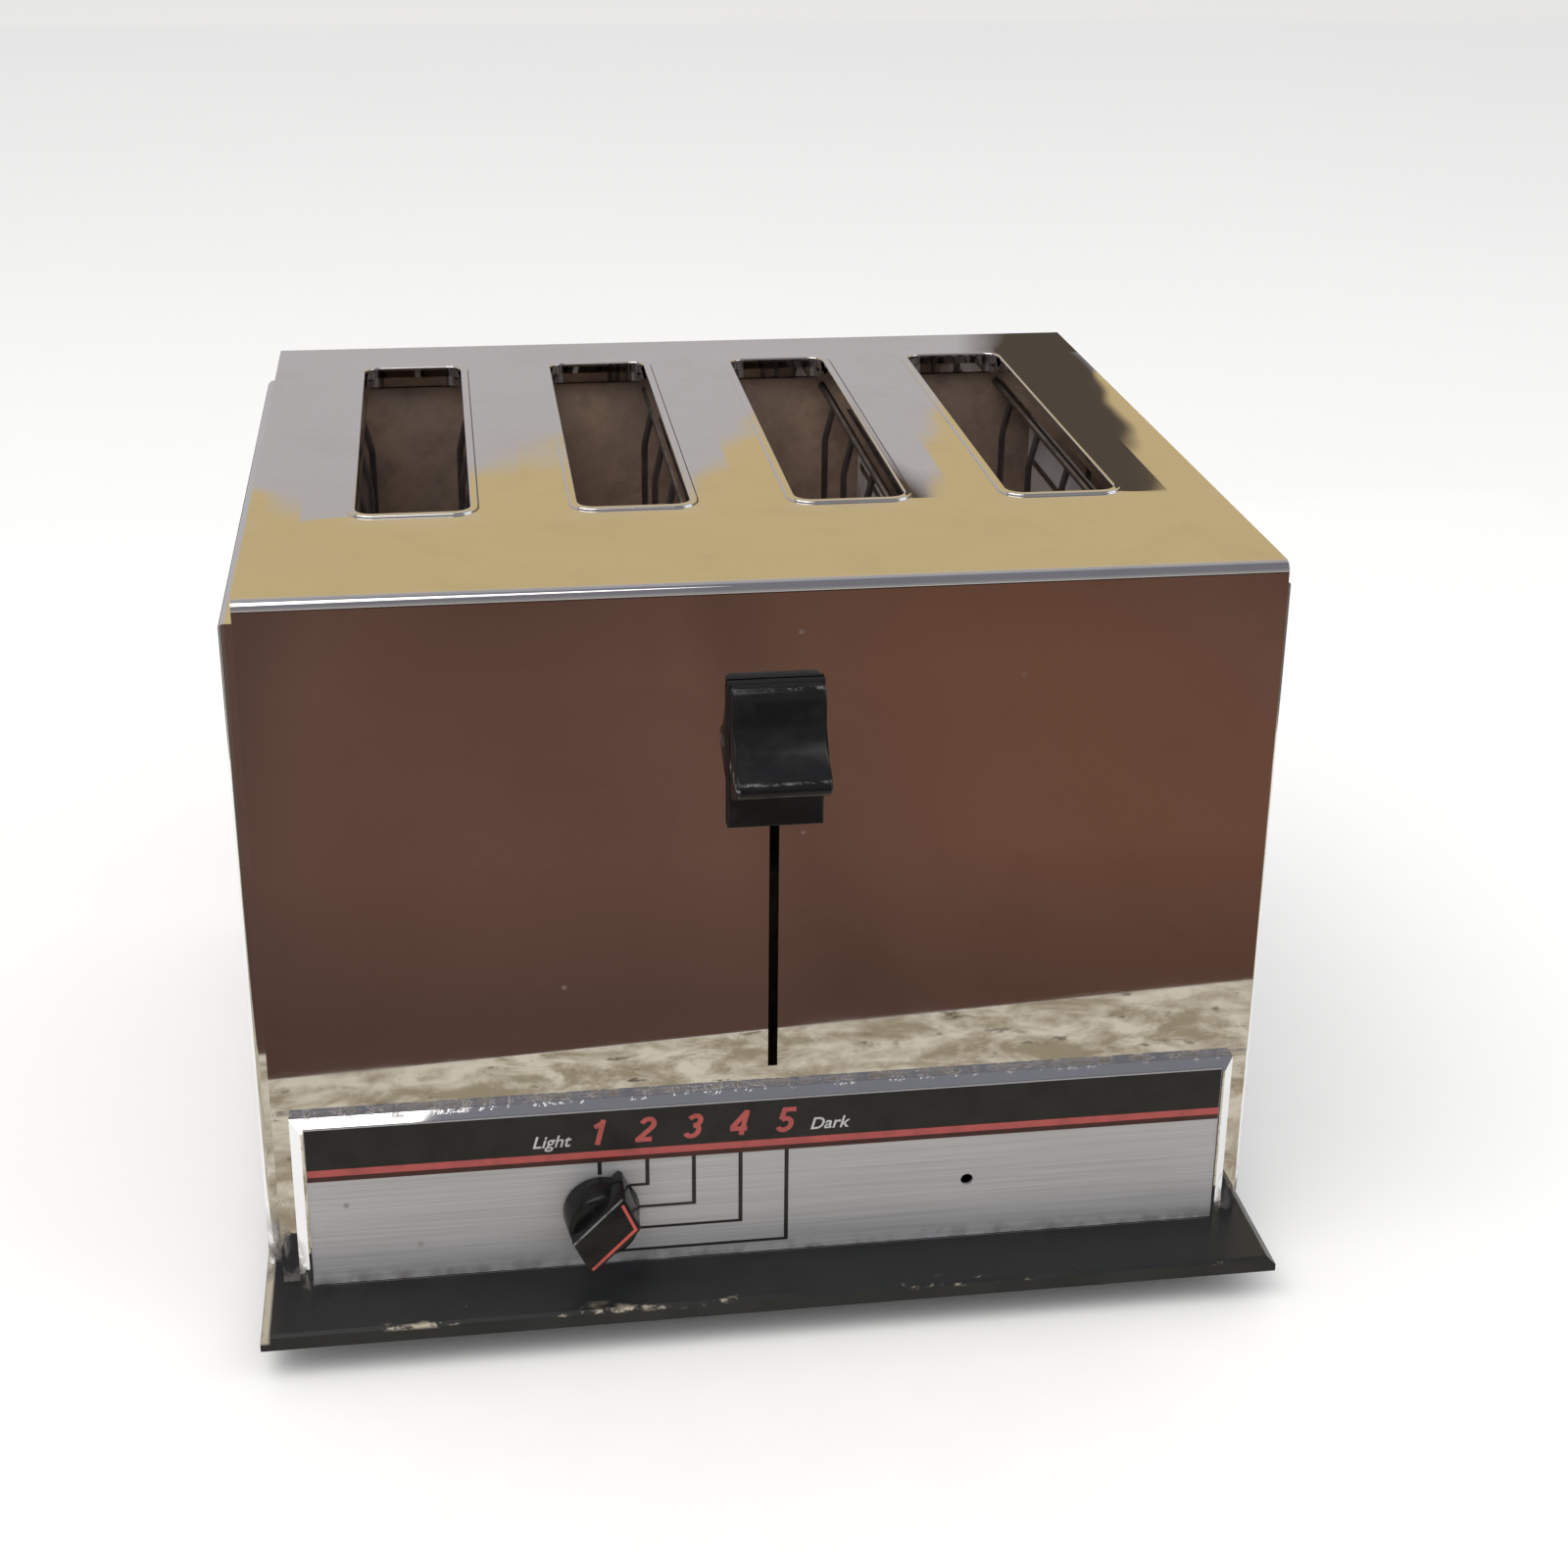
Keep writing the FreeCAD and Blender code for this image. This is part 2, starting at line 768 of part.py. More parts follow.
def lever_knob():
    """A finger pad: upright face above, then a ledge that slopes out to a thick lip."""
    back = lever_plate_front
    face = back - lever_knob_back
    lip = back - lever_knob_reach
    top = deck_z + lever_plate_top - lever_knob_head_gap
    lip_top = deck_z + lever_plate_top - lever_lip_below_plate_top
    crook = lip_top + lever_crook_height
    underside = lip_top - lever_lip_height
    outline = [
        (back, top),
        (face + knob_head_bevel, top),
        (face, top - knob_head_bevel),
        (face - knob_face_lean, crook + knob_crook_rise),
        (face - knob_crook_reach, crook),
        (lip + knob_lip_bevel, lip_top + knob_lip_crown),
        (lip, lip_top - knob_lip_drop),
        (lip, underside),
        (lip + knob_under_bevel, underside - knob_under_drop),
        (back, underside - knob_under_slope),
    ]
    half = lever_knob_width / 2
    return extruded_outline(outline, -half, half).cut(arm_pocket())


def lift_spring(side):
    bottom = crosshead_top + spring_end_gap
    top = top_bracket_z - spring_end_gap
    height = top - bottom
    helix = Part.makeHelix(height / spring_turns, height, spring_radius)
    section = Part.Wire([Part.makeCircle(spring_wire_radius, Vector(spring_radius, 0, 0), Vector(0, 1, 0))])
    coil = Part.Wire(helix).makePipeShell([section], True, True)
    coil.translate(Vector(side * spring_x, rod_y, bottom))
    return coil


def armature_plate():
    z1 = crosshead_top - crosshead_flange_thickness
    y1 = rack_front_y - crosshead_web
    y0 = rack_front_y - crosshead_flange_depth + magnet_margin
    return block(magnet_x, magnet_x + magnet_span, y0, y1, z1 - armature_thickness, z1)


# ---------------------------------------------------------------- fixed mechanism
def magnet_leg_range(side):
    if side < 0:
        return magnet_x + magnet_margin, magnet_x + magnet_margin + magnet_leg
    far = magnet_x + magnet_span - magnet_margin
    return far - magnet_leg, far


def magnet_y():
    y1 = rack_front_y - crosshead_web - coil_wall - 2 * air_gap
    return y1 - magnet_leg, y1


def magnet_core():
    z0 = deck_z + bracket_thickness
    z1 = z0 + magnet_height - air_gap
    y0, y1 = magnet_y()
    x0 = magnet_x + magnet_margin
    x1 = magnet_x + magnet_span - magnet_margin
    yoke = block(x0, x1, y0, y1, z0, z0 + magnet_yoke)
    legs = [block(*magnet_leg_range(side), y0, y1, z0, z1) for side in (-1, 1)]
    return fused(yoke, *legs)


def magnet_coil():
    z0 = deck_z + bracket_thickness + magnet_yoke + seam_gap
    z1 = deck_z + bracket_thickness + magnet_height - coil_head_gap
    y0, y1 = magnet_y()
    coils = []
    for side in (-1, 1):
        x0, x1 = magnet_leg_range(side)
        winding = rounded_column(
            x0 - coil_wall, x1 + coil_wall, y0 - coil_wall, y1 + coil_wall, z0, z1, coil_wall
        )
        core = block(x0 - press_gap, x1 + press_gap, y0 - press_gap, y1 + press_gap, z0 - past, z1 + past)
        coils.append(winding.cut(core))
    return coils


def mechanism_base_bracket():
    half = guide_rod_x + bracket_rod_overhang
    y0 = rod_y - bracket_boss_radius - 1
    y1 = rack_front_y + 1
    solid = block(-half, half, y0, y1, deck_z, deck_z + bracket_thickness)
    boss_height = bracket_thickness + bracket_boss_height
    for side in (-1, 1):
        place = Vector(side * guide_rod_x, rod_y, deck_z)
        solid = solid.fuse(Part.makeCylinder(bracket_boss_radius, boss_height, place))
        solid = solid.cut(Part.makeCylinder(guide_rod_radius + press_gap, boss_height + past, place))
    return solid.removeSplitter()


def mechanism_top_bracket():
    half = guide_rod_x + bracket_rod_overhang
    y0 = rod_y - bracket_boss_radius - 1
    y1 = chassis_front_y - chassis_thickness
    shelf = block(-half, half, y0, y1, top_bracket_z, top_bracket_z + bracket_thickness)
    flange = block(
        -half,
        half,
        y1 - bracket_thickness,
        y1,
        top_bracket_z - top_bracket_flange,
        top_bracket_z + bracket_thickness,
    )
    solid = fused(shelf, flange)
    through = bracket_thickness + 2 * past
    for side in (-1, 1):
        place = Vector(side * guide_rod_x, rod_y, top_bracket_z - past)
        solid = solid.cut(Part.makeCylinder(guide_rod_radius + press_gap, through, place))
    return solid


def guide_rods():
    z1 = top_bracket_z + bracket_thickness + guide_rod_end
    rods = []
    for side in (-1, 1):
        x = side * guide_rod_x
        rods.append(rod(guide_rod_radius, (x, rod_y, deck_z), (x, rod_y, z1)))
    return rods


def switch_range():
    x0 = switch_x - switch_length
    y1 = rack_front_y - crosshead_web - 2 * air_gap
    return x0, switch_x, y1 - switch_depth, y1


def switch_block():
    x0, x1, y0, y1 = switch_range()
    z0 = deck_z + bracket_thickness
    solid = rounded_column(x0, x1, y0, y1, z0, z0 + switch_height, switch_round)
    middle = (x0 + x1) / 2
    half = switch_groove / 2
    z1 = z0 + switch_height
    return solid.cut(block(middle - half, middle + half, y0 - past, y1 + past, z1 - switch_groove, z1 + past))


def switch_contacts():
    x0, x1, y0, y1 = switch_range()
    z0 = deck_z + bracket_thickness + switch_height
    contacts = []
    for y in (y0 + contact_inset, y1 - contact_inset - contact_width):
        for near in (x0 + contact_inset, x1 - contact_inset - contact_length):
            far = near + contact_length
            blade = block(near, far, y, y + contact_width, z0, z0 + contact_thickness)
            tip = (near + far) / 2
            place = Vector(tip, y + contact_width / 2, z0 + contact_thickness)
            button = Part.makeCylinder(contact_button_radius, contact_button_height, place)
            contacts.append(fused(blade, button))
    return contacts


# ---------------------------------------------------------------- browning dial
def dial_bushing():
    neck = rod(dial_neck_radius, (dial_x, faceplate_front_y, dial_z), (dial_x, front_y + sheet, dial_z))
    collar_end = front_y + sheet + dial_collar_thickness
    collar = rod(dial_collar_radius, (dial_x, front_y + sheet, dial_z), (dial_x, collar_end, dial_z))
    y0 = faceplate_front_y - past
    y1 = collar_end + past
    bore = rod(dial_shaft_radius + running_gap, (dial_x, y0, dial_z), (dial_x, y1, dial_z))
    return fused(neck, collar).cut(bore)


def browning_control():
    y0 = front_y + sheet + dial_collar_thickness
    y1 = y0 + control_body_depth
    half = control_body_width / 2
    low = dial_z - control_body_height / 2
    body = block(dial_x - half, dial_x + half, y0, y1, low, low + control_body_height)
    uprights = edges_where(body, lambda b: b.YLength > 1)
    body = body.makeFillet(control_round, uprights)
    bore = rod(dial_shaft_radius + running_gap, (dial_x, y0 - past, dial_z), (dial_x, y1 - past, dial_z))
    return body.cut(bore)


def dial_shaft():
    y1 = front_y + sheet + dial_collar_thickness + control_body_depth - shaft_end_gap
    return rod(dial_shaft_radius, (dial_x, dial_front_y + shaft_in_knob, dial_z), (dial_x, y1, dial_z))


def dial_knob():
    """A tapered round skirt with a slanted bar grip across its front."""
    skirt_front = dial_skirt_back - dial_skirt_thickness
    back = Vector(dial_x, dial_skirt_back, dial_z)
    forward = Vector(0, -1, 0)
    skirt = Part.makeCone(dial_skirt_radius, dial_skirt_front_radius, dial_skirt_thickness, back, forward)
    half_length = dial_bar_length / 2
    half_width = dial_bar_width / 2
    corners = [
        (half_length, half_width),
        (half_length - dial_bar_slant, -half_width),
        (-half_length, -half_width),
        (dial_bar_slant - half_length, half_width),
    ]
    turn = math.radians(dial_pointer_degrees)
    points = []
    for along, across in corners:
        x = dial_x + along * math.cos(turn) - across * math.sin(turn)
        z = dial_z + along * math.sin(turn) + across * math.cos(turn)
        points.append(Vector(x, dial_front_y, z))
    face = Part.Face(Part.makePolygon(points + points[:1]))
    bar = face.extrude(Vector(0, skirt_front - dial_front_y + past, 0))
    shaft_front = dial_front_y + shaft_in_knob
    bore = rod(dial_shaft_radius + press_gap, (dial_x, shaft_front, dial_z), (dial_x, front_y, dial_z))
    return fused(skirt, bar).cut(bore)


# ---------------------------------------------------------------- crumb door
def crumb_door():
    half = door_half_width - door_clearance
    y0 = door_front_y + door_clearance
    y1 = door_rear_y - door_clearance
    tray = block(-half, half, y0, y1, base_bottom, base_bottom + door_rim)
    hollow = block(
        sheet - half, half - sheet, y0 + sheet, y1 - sheet, base_bottom + sheet, base_bottom + door_rim + 1
    )
    solid = tray.cut(hollow).fuse(door_tab())
    for side in (-1, 1):
        x0 = side * hinge_knuckle_x - hinge_knuckle_length / 2
        x1 = x0 + hinge_knuckle_length
        knuckle = rod(hinge_knuckle_radius, (x0, hinge_y, hinge_z), (x1, hinge_y, hinge_z))
        strap = block(x0, x1, y1 - sheet, hinge_y, hinge_z - hinge_strap_half, hinge_z + hinge_strap_half)
        drop = block(x0, x1, y1 - sheet, y1, hinge_z - hinge_strap_half, base_bottom + sheet)
        solid = solid.multiFuse([knuckle, strap, drop])
        ends = ((x0 - past, hinge_y, hinge_z), (x1 + past, hinge_y, hinge_z))
        solid = solid.cut(rod(hinge_pin_radius + running_gap, *ends))
    return solid.removeSplitter()


def door_tab():
    """The finger tab under the door's front edge."""
    half = door_tab_width / 2
    edge = door_front_y + door_clearance
    high = base_bottom - door_tab_drop
    tab = block(-half, half, edge - door_tab_reach, edge + door_tab_reach, high - door_tab_thickness, high)
    pad = block(-half, half, edge, edge + door_tab_reach, high - door_tab_thickness, base_bottom)
    return fused(tab, pad)


def crumb_hinge_pin():
    reach = hinge_knuckle_x + hinge_knuckle_length / 2 + air_gap + hinge_lug_length
    return rod(hinge_pin_radius, (-reach, hinge_y, hinge_z), (reach, hinge_y, hinge_z))


# ---------------------------------------------------------------- wiring hardware
def bus_bars():
    y0 = chassis_rear_y + chassis_thickness
    y1 = y0 + bus_bar_offset
    reach = wall_xs[-1] + bus_bar_height / 2
    post_end = y1 + bus_bar_thickness + bus_post_end
    bars = []
    for drop in bus_bars_below_top:
        z = shell_top - drop
        bar = block(-reach, reach, y1, y1 + bus_bar_thickness, z - bus_bar_height / 2, z + bus_bar_height / 2)
        posts = [rod(bus_post_radius, (x, y0, z), (x, post_end, z)) for x in wall_xs]
        bars.append(bar.multiFuse(posts))
    return bars


def terminal_block():
    y1 = back_y - sheet - cord_flange_thickness
    x0 = terminal_x
    y0 = y1 - terminal_depth
    top = deck_z + terminal_height
    solid = rounded_column(x0, x0 + terminal_length, y0, y1, deck_z, top, terminal_round)
    z = top - terminal_well_depth
    for i in range(terminal_wells):
        x = x0 + terminal_length * (2 * i + 1) / (2 * terminal_wells)
        place = Vector(x, y1 - terminal_depth / 2, z)
        well = Part.makeCylinder(terminal_well_radius, terminal_well_depth + past, place)
        solid = solid.cut(well)
    return solid


def cord_bushing():
    z = deck_z + cord_height
    inner = back_y - sheet
    neck = rod(cord_neck_radius, (cord_x, inner, z), (cord_x, back_y, z))
    outside = rod(cord_flange_radius, (cord_x, back_y, z), (cord_x, back_y + cord_flange_thickness, z))
    rim = edges_where(outside, lambda b: b.YMin > back_y + cord_flange_thickness - hair)
    outside = outside.makeFillet(cord_flange_round, rim)
    inside = rod(cord_flange_radius, (cord_x, inner - cord_flange_thickness, z), (cord_x, inner, z))
    reach = cord_flange_thickness + past
    bore = rod(cord_bore_radius, (cord_x, inner - reach, z), (cord_x, back_y + reach, z))
    return fused(neck, outside, inside).cut(bore)


# ---------------------------------------------------------------- build
def build():
    os.makedirs("parts", exist_ok=True)
    save("outer_shell", outer_shell())
    save("side_panel_left", side_panel(-1))
    save("side_panel_right", side_panel(1))
    save("control_bezel", control_bezel())
    save("control_faceplate", control_faceplate())
    save("base_plate", base_plate())
    for name, (side, end) in foot_places.items():
        save(name, foot(side, end))
    screw_floor = foot_height - foot_web - screw_head_height
    feet_xy = [foot_xy(*place) for place in foot_places.values()]
    save("foot_screws", *[screw(x, y, screw_floor, deck_z - base_bevel) for x, y in feet_xy])
    screw_top = deck_z + chassis_thickness + base_screw_end
    save("base_screws", *[screw(x, y, base_bottom, screw_top) for x, y in base_screw_places()])

    save("chassis_plate_front", chassis_plate(chassis_front_y - chassis_thickness, chassis_front_foot))
    save("chassis_plate_rear", chassis_plate(chassis_rear_y, chassis_rear_foot))
    save("heat_shield_left", heat_shield(-1))
    save("heat_shield_right", heat_shield(1))
    for index, x in enumerate(wall_xs):
        save("element_card_%d" % (index + 1), element_card(x))
        save("element_ribbon_%d" % (index + 1), *element_ribbon(index))
        save("guard_wires_%d" % (index + 1), *guard_wires(index))

    for index, x in enumerate(slot_xs):
        save("bread_rack_%d" % (index + 1), bread_rack(x))
    save("carriage_crosshead", carriage_crosshead())
    save("carriage_bushes", *carriage_bushes())
    save("carriage_rear_link", carriage_rear_link())
    save("lever_arm", lever_arm())
    save("lever_plate", lever_plate())
    save("lever_knob", lever_knob())
    save("lift_spring_left", lift_spring(-1))
    save("lift_spring_right", lift_spring(1))
    save("armature_plate", armature_plate())

    save("magnet_core", magnet_core())
    save("magnet_coil", *magnet_coil())
    save("mechanism_base_bracket", mechanism_base_bracket())
    save("mechanism_top_bracket", mechanism_top_bracket())
    save("guide_rods", *guide_rods())
    save("switch_block", switch_block())
    save("switch_contacts", *switch_contacts())

    save("dial_bushing", dial_bushing())
    save("browning_control", browning_control())
    save("dial_shaft", dial_shaft())
    save("dial_knob", dial_knob())

    save("crumb_door", crumb_door())
    save("crumb_hinge_pin", crumb_hinge_pin())
    save("bus_bars", *bus_bars())
    save("terminal_block", terminal_block())
    save("cord_bushing", cord_bushing())


build()
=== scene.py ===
"""Finishes, fittings and studio for a four-slice chrome pop-up toaster."""

import json
import math

import bmesh
import bpy
from mathutils import Matrix, Vector

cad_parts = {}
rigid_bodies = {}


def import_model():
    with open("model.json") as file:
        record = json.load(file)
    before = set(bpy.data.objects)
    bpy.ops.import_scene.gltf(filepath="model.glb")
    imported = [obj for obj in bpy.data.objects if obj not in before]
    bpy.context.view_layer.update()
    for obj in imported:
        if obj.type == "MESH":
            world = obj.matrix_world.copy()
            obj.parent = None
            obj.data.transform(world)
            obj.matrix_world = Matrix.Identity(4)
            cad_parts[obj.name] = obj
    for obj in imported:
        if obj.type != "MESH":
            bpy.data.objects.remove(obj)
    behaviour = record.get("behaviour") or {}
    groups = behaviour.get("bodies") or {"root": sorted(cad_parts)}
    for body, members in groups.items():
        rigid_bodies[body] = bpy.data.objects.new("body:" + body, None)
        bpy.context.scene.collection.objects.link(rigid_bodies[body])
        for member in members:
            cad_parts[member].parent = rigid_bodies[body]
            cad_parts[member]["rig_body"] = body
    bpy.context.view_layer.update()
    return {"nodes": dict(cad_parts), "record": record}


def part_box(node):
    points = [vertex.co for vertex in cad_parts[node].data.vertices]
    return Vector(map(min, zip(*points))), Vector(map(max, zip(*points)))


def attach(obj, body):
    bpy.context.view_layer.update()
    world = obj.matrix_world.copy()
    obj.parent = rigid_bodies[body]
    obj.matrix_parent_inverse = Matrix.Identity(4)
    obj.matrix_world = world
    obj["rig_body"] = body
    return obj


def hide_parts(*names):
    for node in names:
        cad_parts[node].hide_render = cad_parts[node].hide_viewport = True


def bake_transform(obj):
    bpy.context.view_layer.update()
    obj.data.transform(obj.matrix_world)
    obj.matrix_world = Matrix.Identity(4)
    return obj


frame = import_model()
NODES = frame["nodes"]

bl_info = {
    "name": "Four-slice toaster",
    "version": (1, 0, 0),
    "blender": (4, 5, 0),
    "location": "3D Viewport > Sidebar > Toaster",
    "description": "Finishes, fittings and studio for a four-slice chrome toaster",
    "category": "Object",
}

MM = 0.001


# ---- places taken from the frame

def low(node):
    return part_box(node)[0]


def high(node):
    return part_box(node)[1]


def middle(node):
    a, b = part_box(node)
    return (a + b) / 2


PLATE_FRONT = low("control_faceplate").y
PLATE_LEFT = low("control_faceplate").x
PLATE_RIGHT = high("control_faceplate").x
PLATE_TOP = high("control_faceplate").z
PLATE_FOOT = low("control_faceplate").z
SHELL_FRONT = low("outer_shell").y
SHELL_TOP = high("outer_shell").z
DECK = high("base_plate").z
BASE_FRONT = low("base_plate").y
BASE_SIDE = high("base_plate").x
BEZEL_TOP = high("control_bezel").z
BEZEL_SIDE = high("control_bezel").x
SHELL_SIDE = high("outer_shell").x
PAN_CORNER = (-92.5 * MM, -88 * MM)
SLOT_PITCH = middle("bread_rack_2").x - middle("bread_rack_1").x
SLOT_MIDDLE_Y = 22.0 * MM
SLOT_HALF_LENGTH = 67.0 * MM
SLOT_HALF_WIDTH = 13.15 * MM
DISH_REACH = 7.0 * MM


# ---- node trees

class Finish:
    """One finish: a material with a principled shader and the nodes that feed it."""

    def __init__(self, name, colour, metallic=0.0, roughness=0.5, **sockets):
        self.material = bpy.data.materials.new(name)
        self.material.use_nodes = True
        self.tree = self.material.node_tree
        self.shader = self.tree.nodes["Principled BSDF"]
        self.place = self.node("ShaderNodeTexCoord").outputs["Object"]
        self.colour = (*colour, 1.0)
        self.set("Base Color", self.colour)
        self.set("Metallic", metallic)
        self.set("Roughness", roughness)
        for socket, value in sockets.items():
            self.set(socket.replace("_", " "), value)

    def set(self, socket, value):
        self.plug(self.shader.inputs[socket], value)

    def plug(self, socket, value):
        """Links a node's output to a socket, or sets the socket's own value."""
        if isinstance(value, bpy.types.NodeSocket):
            self.tree.links.new(value, socket)
        else:
            socket.default_value = value

    def node(self, kind, inputs=None, **settings):
        made = self.tree.nodes.new(kind)
        for key, value in settings.items():
            setattr(made, key, value)
        for key, value in (inputs or {}).items():
            self.plug(made.inputs[key], value)
        return made

    def math(self, operation, a, b=0.0, clamp=False):
        made = self.node("ShaderNodeMath", {0: a, 1: b}, operation=operation, use_clamp=clamp)
        return made.outputs[0]

    def axis(self, name):
        return self.node("ShaderNodeSeparateXYZ", {0: self.place}).outputs[name]

    def noise(self, scale, detail=3.0, rough=0.55, stretch=(1, 1, 1), turn=(0, 0, 0), twist=0.0):
        spot = {"Vector": self.place, "Scale": stretch, "Rotation": turn}
        where = self.node("ShaderNodeMapping", spot)
        made = self.node("ShaderNodeTexNoise", {
            "Vector": where.outputs[0], "Scale": scale, "Detail": detail,
            "Roughness": rough, "Distortion": twist,
        })
        return made.outputs["Fac"]

    def cells(self, scale, stretch=(1, 1, 1)):
        where = self.node("ShaderNodeMapping", {"Vector": self.place, "Scale": stretch})
        made = self.node("ShaderNodeTexVoronoi", {"Vector": where.outputs[0], "Scale": scale})
        return made.outputs["Distance"]

    def range(self, value, start, end, to_start=0.0, to_end=1.0, smooth=False):
        made = self.node("ShaderNodeMapRange", {
            "Value": value, "From Min": start, "From Max": end, "To Min": to_start, "To Max": to_end,
        }, interpolation_type="SMOOTHSTEP" if smooth else "LINEAR")
        return made.outputs["Result"]

    def gap(self, value, centre):
        """How far a value is from a centre, either way."""
        return self.math("ABSOLUTE", self.math("SUBTRACT", value, centre))

    def near(self, value, centre, reach):
        """1 at centre, falling to 0 a reach away."""
        return self.range(self.gap(value, centre), 0.0, reach, 1.0, 0.0, smooth=True)

    def both(self, *values):
        total = values[0]
        for value in values[1:]:
            total = self.math("MULTIPLY", total, value)
        return total

    def either(self, *values):
        total = values[0]
        for value in values[1:]:
            total = self.math("MAXIMUM", total, value)
        return total

    def mix(self, amount, a, b):
        a = (*a, 1.0) if isinstance(a, tuple) and len(a) == 3 else a
        b = (*b, 1.0) if isinstance(b, tuple) and len(b) == 3 else b
        made = self.node("ShaderNodeMix", data_type="RGBA")
        self.plug(made.inputs[0], amount)
        self.plug(made.inputs[6], a)
        self.plug(made.inputs[7], b)
        return made.outputs[2]

    def bump(self, height, depth, strength=1.0, under=None):
        made = self.node("ShaderNodeBump", {"Height": height, "Distance": depth, "Strength": strength})
        if under is not None:
            self.plug(made.inputs["Normal"], under)
        return made.outputs["Normal"]

    def done(self, colour, roughness, normal):
        self.set("Base Color", colour)
        self.set("Roughness", roughness)
        self.set("Normal", normal)
        return self.material


def scratches(f, turns, scale=60.0, thin=0.012, stretch=(1, 34, 34)):
    """Fine hairline scratches running several ways, as a mask."""
    lines = []
    for i, turn in enumerate(turns):
        streak = f.noise(scale * (1 + 0.17 * i), 2.0, 0.5, stretch, turn)
        line = f.range(f.gap(streak, 0.5), 0.0, thin, 1.0, 0.0)
        patch = f.range(f.noise(31 + 9 * i, 2.0), 0.52, 0.66)
        lines.append(f.both(line, patch))
    return f.either(*lines)


def slot_distance(f):
    """How far a point of the top is from the nearest slot's edge."""
    across = f.gap(f.math("PINGPONG", f.axis("X"), SLOT_PITCH), SLOT_PITCH / 2)
    dx = f.math("MAXIMUM", f.math("SUBTRACT", across, SLOT_HALF_WIDTH), 0.0)
    along = f.gap(f.axis("Y"), SLOT_MIDDLE_Y)
    dy = f.math("MAXIMUM", f.math("SUBTRACT", along, SLOT_HALF_LENGTH), 0.0)
    return f.math("SQRT", f.math("ADD", f.both(dx, dx), f.both(dy, dy)))


def mirror_chrome(settings):
    """Mirror plate with smudges, hairlines, specks, a dished top and rust by the panel."""
    c = settings.casing
    f = Finish("mirror_chrome", tuple(c.chrome_colour), 1.0, c.chrome_haze, IOR=2.4)
    z, y, x = f.axis("Z"), f.axis("Y"), f.axis("X")
    smudge = f.range(f.noise(17, 6, 0.62, (1, 1, 0.7), twist=0.8), 0.46, 0.72)
    wipe = f.range(f.noise(9, 3, 0.5, (1, 3.2, 1), (0, 0, 0.7), 1.5), 0.5, 0.7)
    grime = f.range(f.noise(38, 5, 0.7, twist=0.6), 0.52, 0.66)
    hair = scratches(f, ((0, 0, 0.5), (0.3, 0.9, -0.6), (0, 1.4, 1.1)))
    speck = f.range(f.cells(95), 0.05, 0.09, 1.0, 0.0)
    speck = f.both(speck, f.range(f.noise(24, 2), 0.55, 0.62))

    front = f.range(y, SHELL_FRONT + 1.5 * MM, SHELL_FRONT + 0.5 * MM)
    joint = f.both(f.near(z, BEZEL_TOP + 0.3 * MM, 0.9 * MM), front)
    foot = f.range(z, DECK + 5 * MM, DECK)
    stain = f.both(f.range(f.noise(210, 5, 0.7), 0.42, 0.6), f.either(joint, f.both(foot, 0.8)))
    side_edge = f.range(f.math("ABSOLUTE", x), SHELL_SIDE - 3.2 * MM, SHELL_SIDE - 0.2 * MM)
    low_part = f.range(z, DECK + 30 * MM, DECK + 6 * MM)
    rust = f.both(f.range(f.noise(150, 6, 0.75, (1, 1, 0.4)), 0.5, 0.62), side_edge, low_part)
    stain = f.either(stain, rust)

    haze = f.math("ADD", c.chrome_haze, f.both(smudge, 0.02))
    haze = f.math("ADD", haze, f.both(wipe, 0.015))
    haze = f.math("ADD", haze, f.both(hair, 0.05))
    haze = f.math("ADD", haze, f.both(f.either(stain, speck), 0.35), clamp=True)
    f.set("Roughness", haze)

    tint = f.mix(f.both(smudge, 0.18), tuple(c.chrome_colour), (0.70, 0.67, 0.63))
    tint = f.mix(f.both(grime, 0.12), tint, (0.50, 0.46, 0.41))
    tint = f.mix(f.both(speck, 0.5), tint, (0.9, 0.88, 0.84))
    tint = f.mix(f.both(stain, 0.85), tint, (0.13, 0.075, 0.04))
    f.set("Base Color", tint)
    f.set("Metallic", f.range(stain, 0.0, 1.0, 1.0, 0.35))

    top = f.range(z, SHELL_TOP - 3 * MM, SHELL_TOP - 1 * MM)
    lip = f.math("EXPONENT", f.both(slot_distance(f), -1 / DISH_REACH))
    wander = f.noise(19, 1, 0.4)
    dish = f.both(lip, f.math("ADD", 0.6, f.both(wander, 0.8)), top)
    normal = f.bump(dish, c.slot_dish, 1.0)
    ripple = f.noise(8.5, 0.5, 0.4)
    normal = f.bump(ripple, c.panel_ripple, 1.0, normal)
    normal = f.bump(stain, 0.05 * MM, 0.8, normal)
    f.set("Normal", normal)
    return f.material


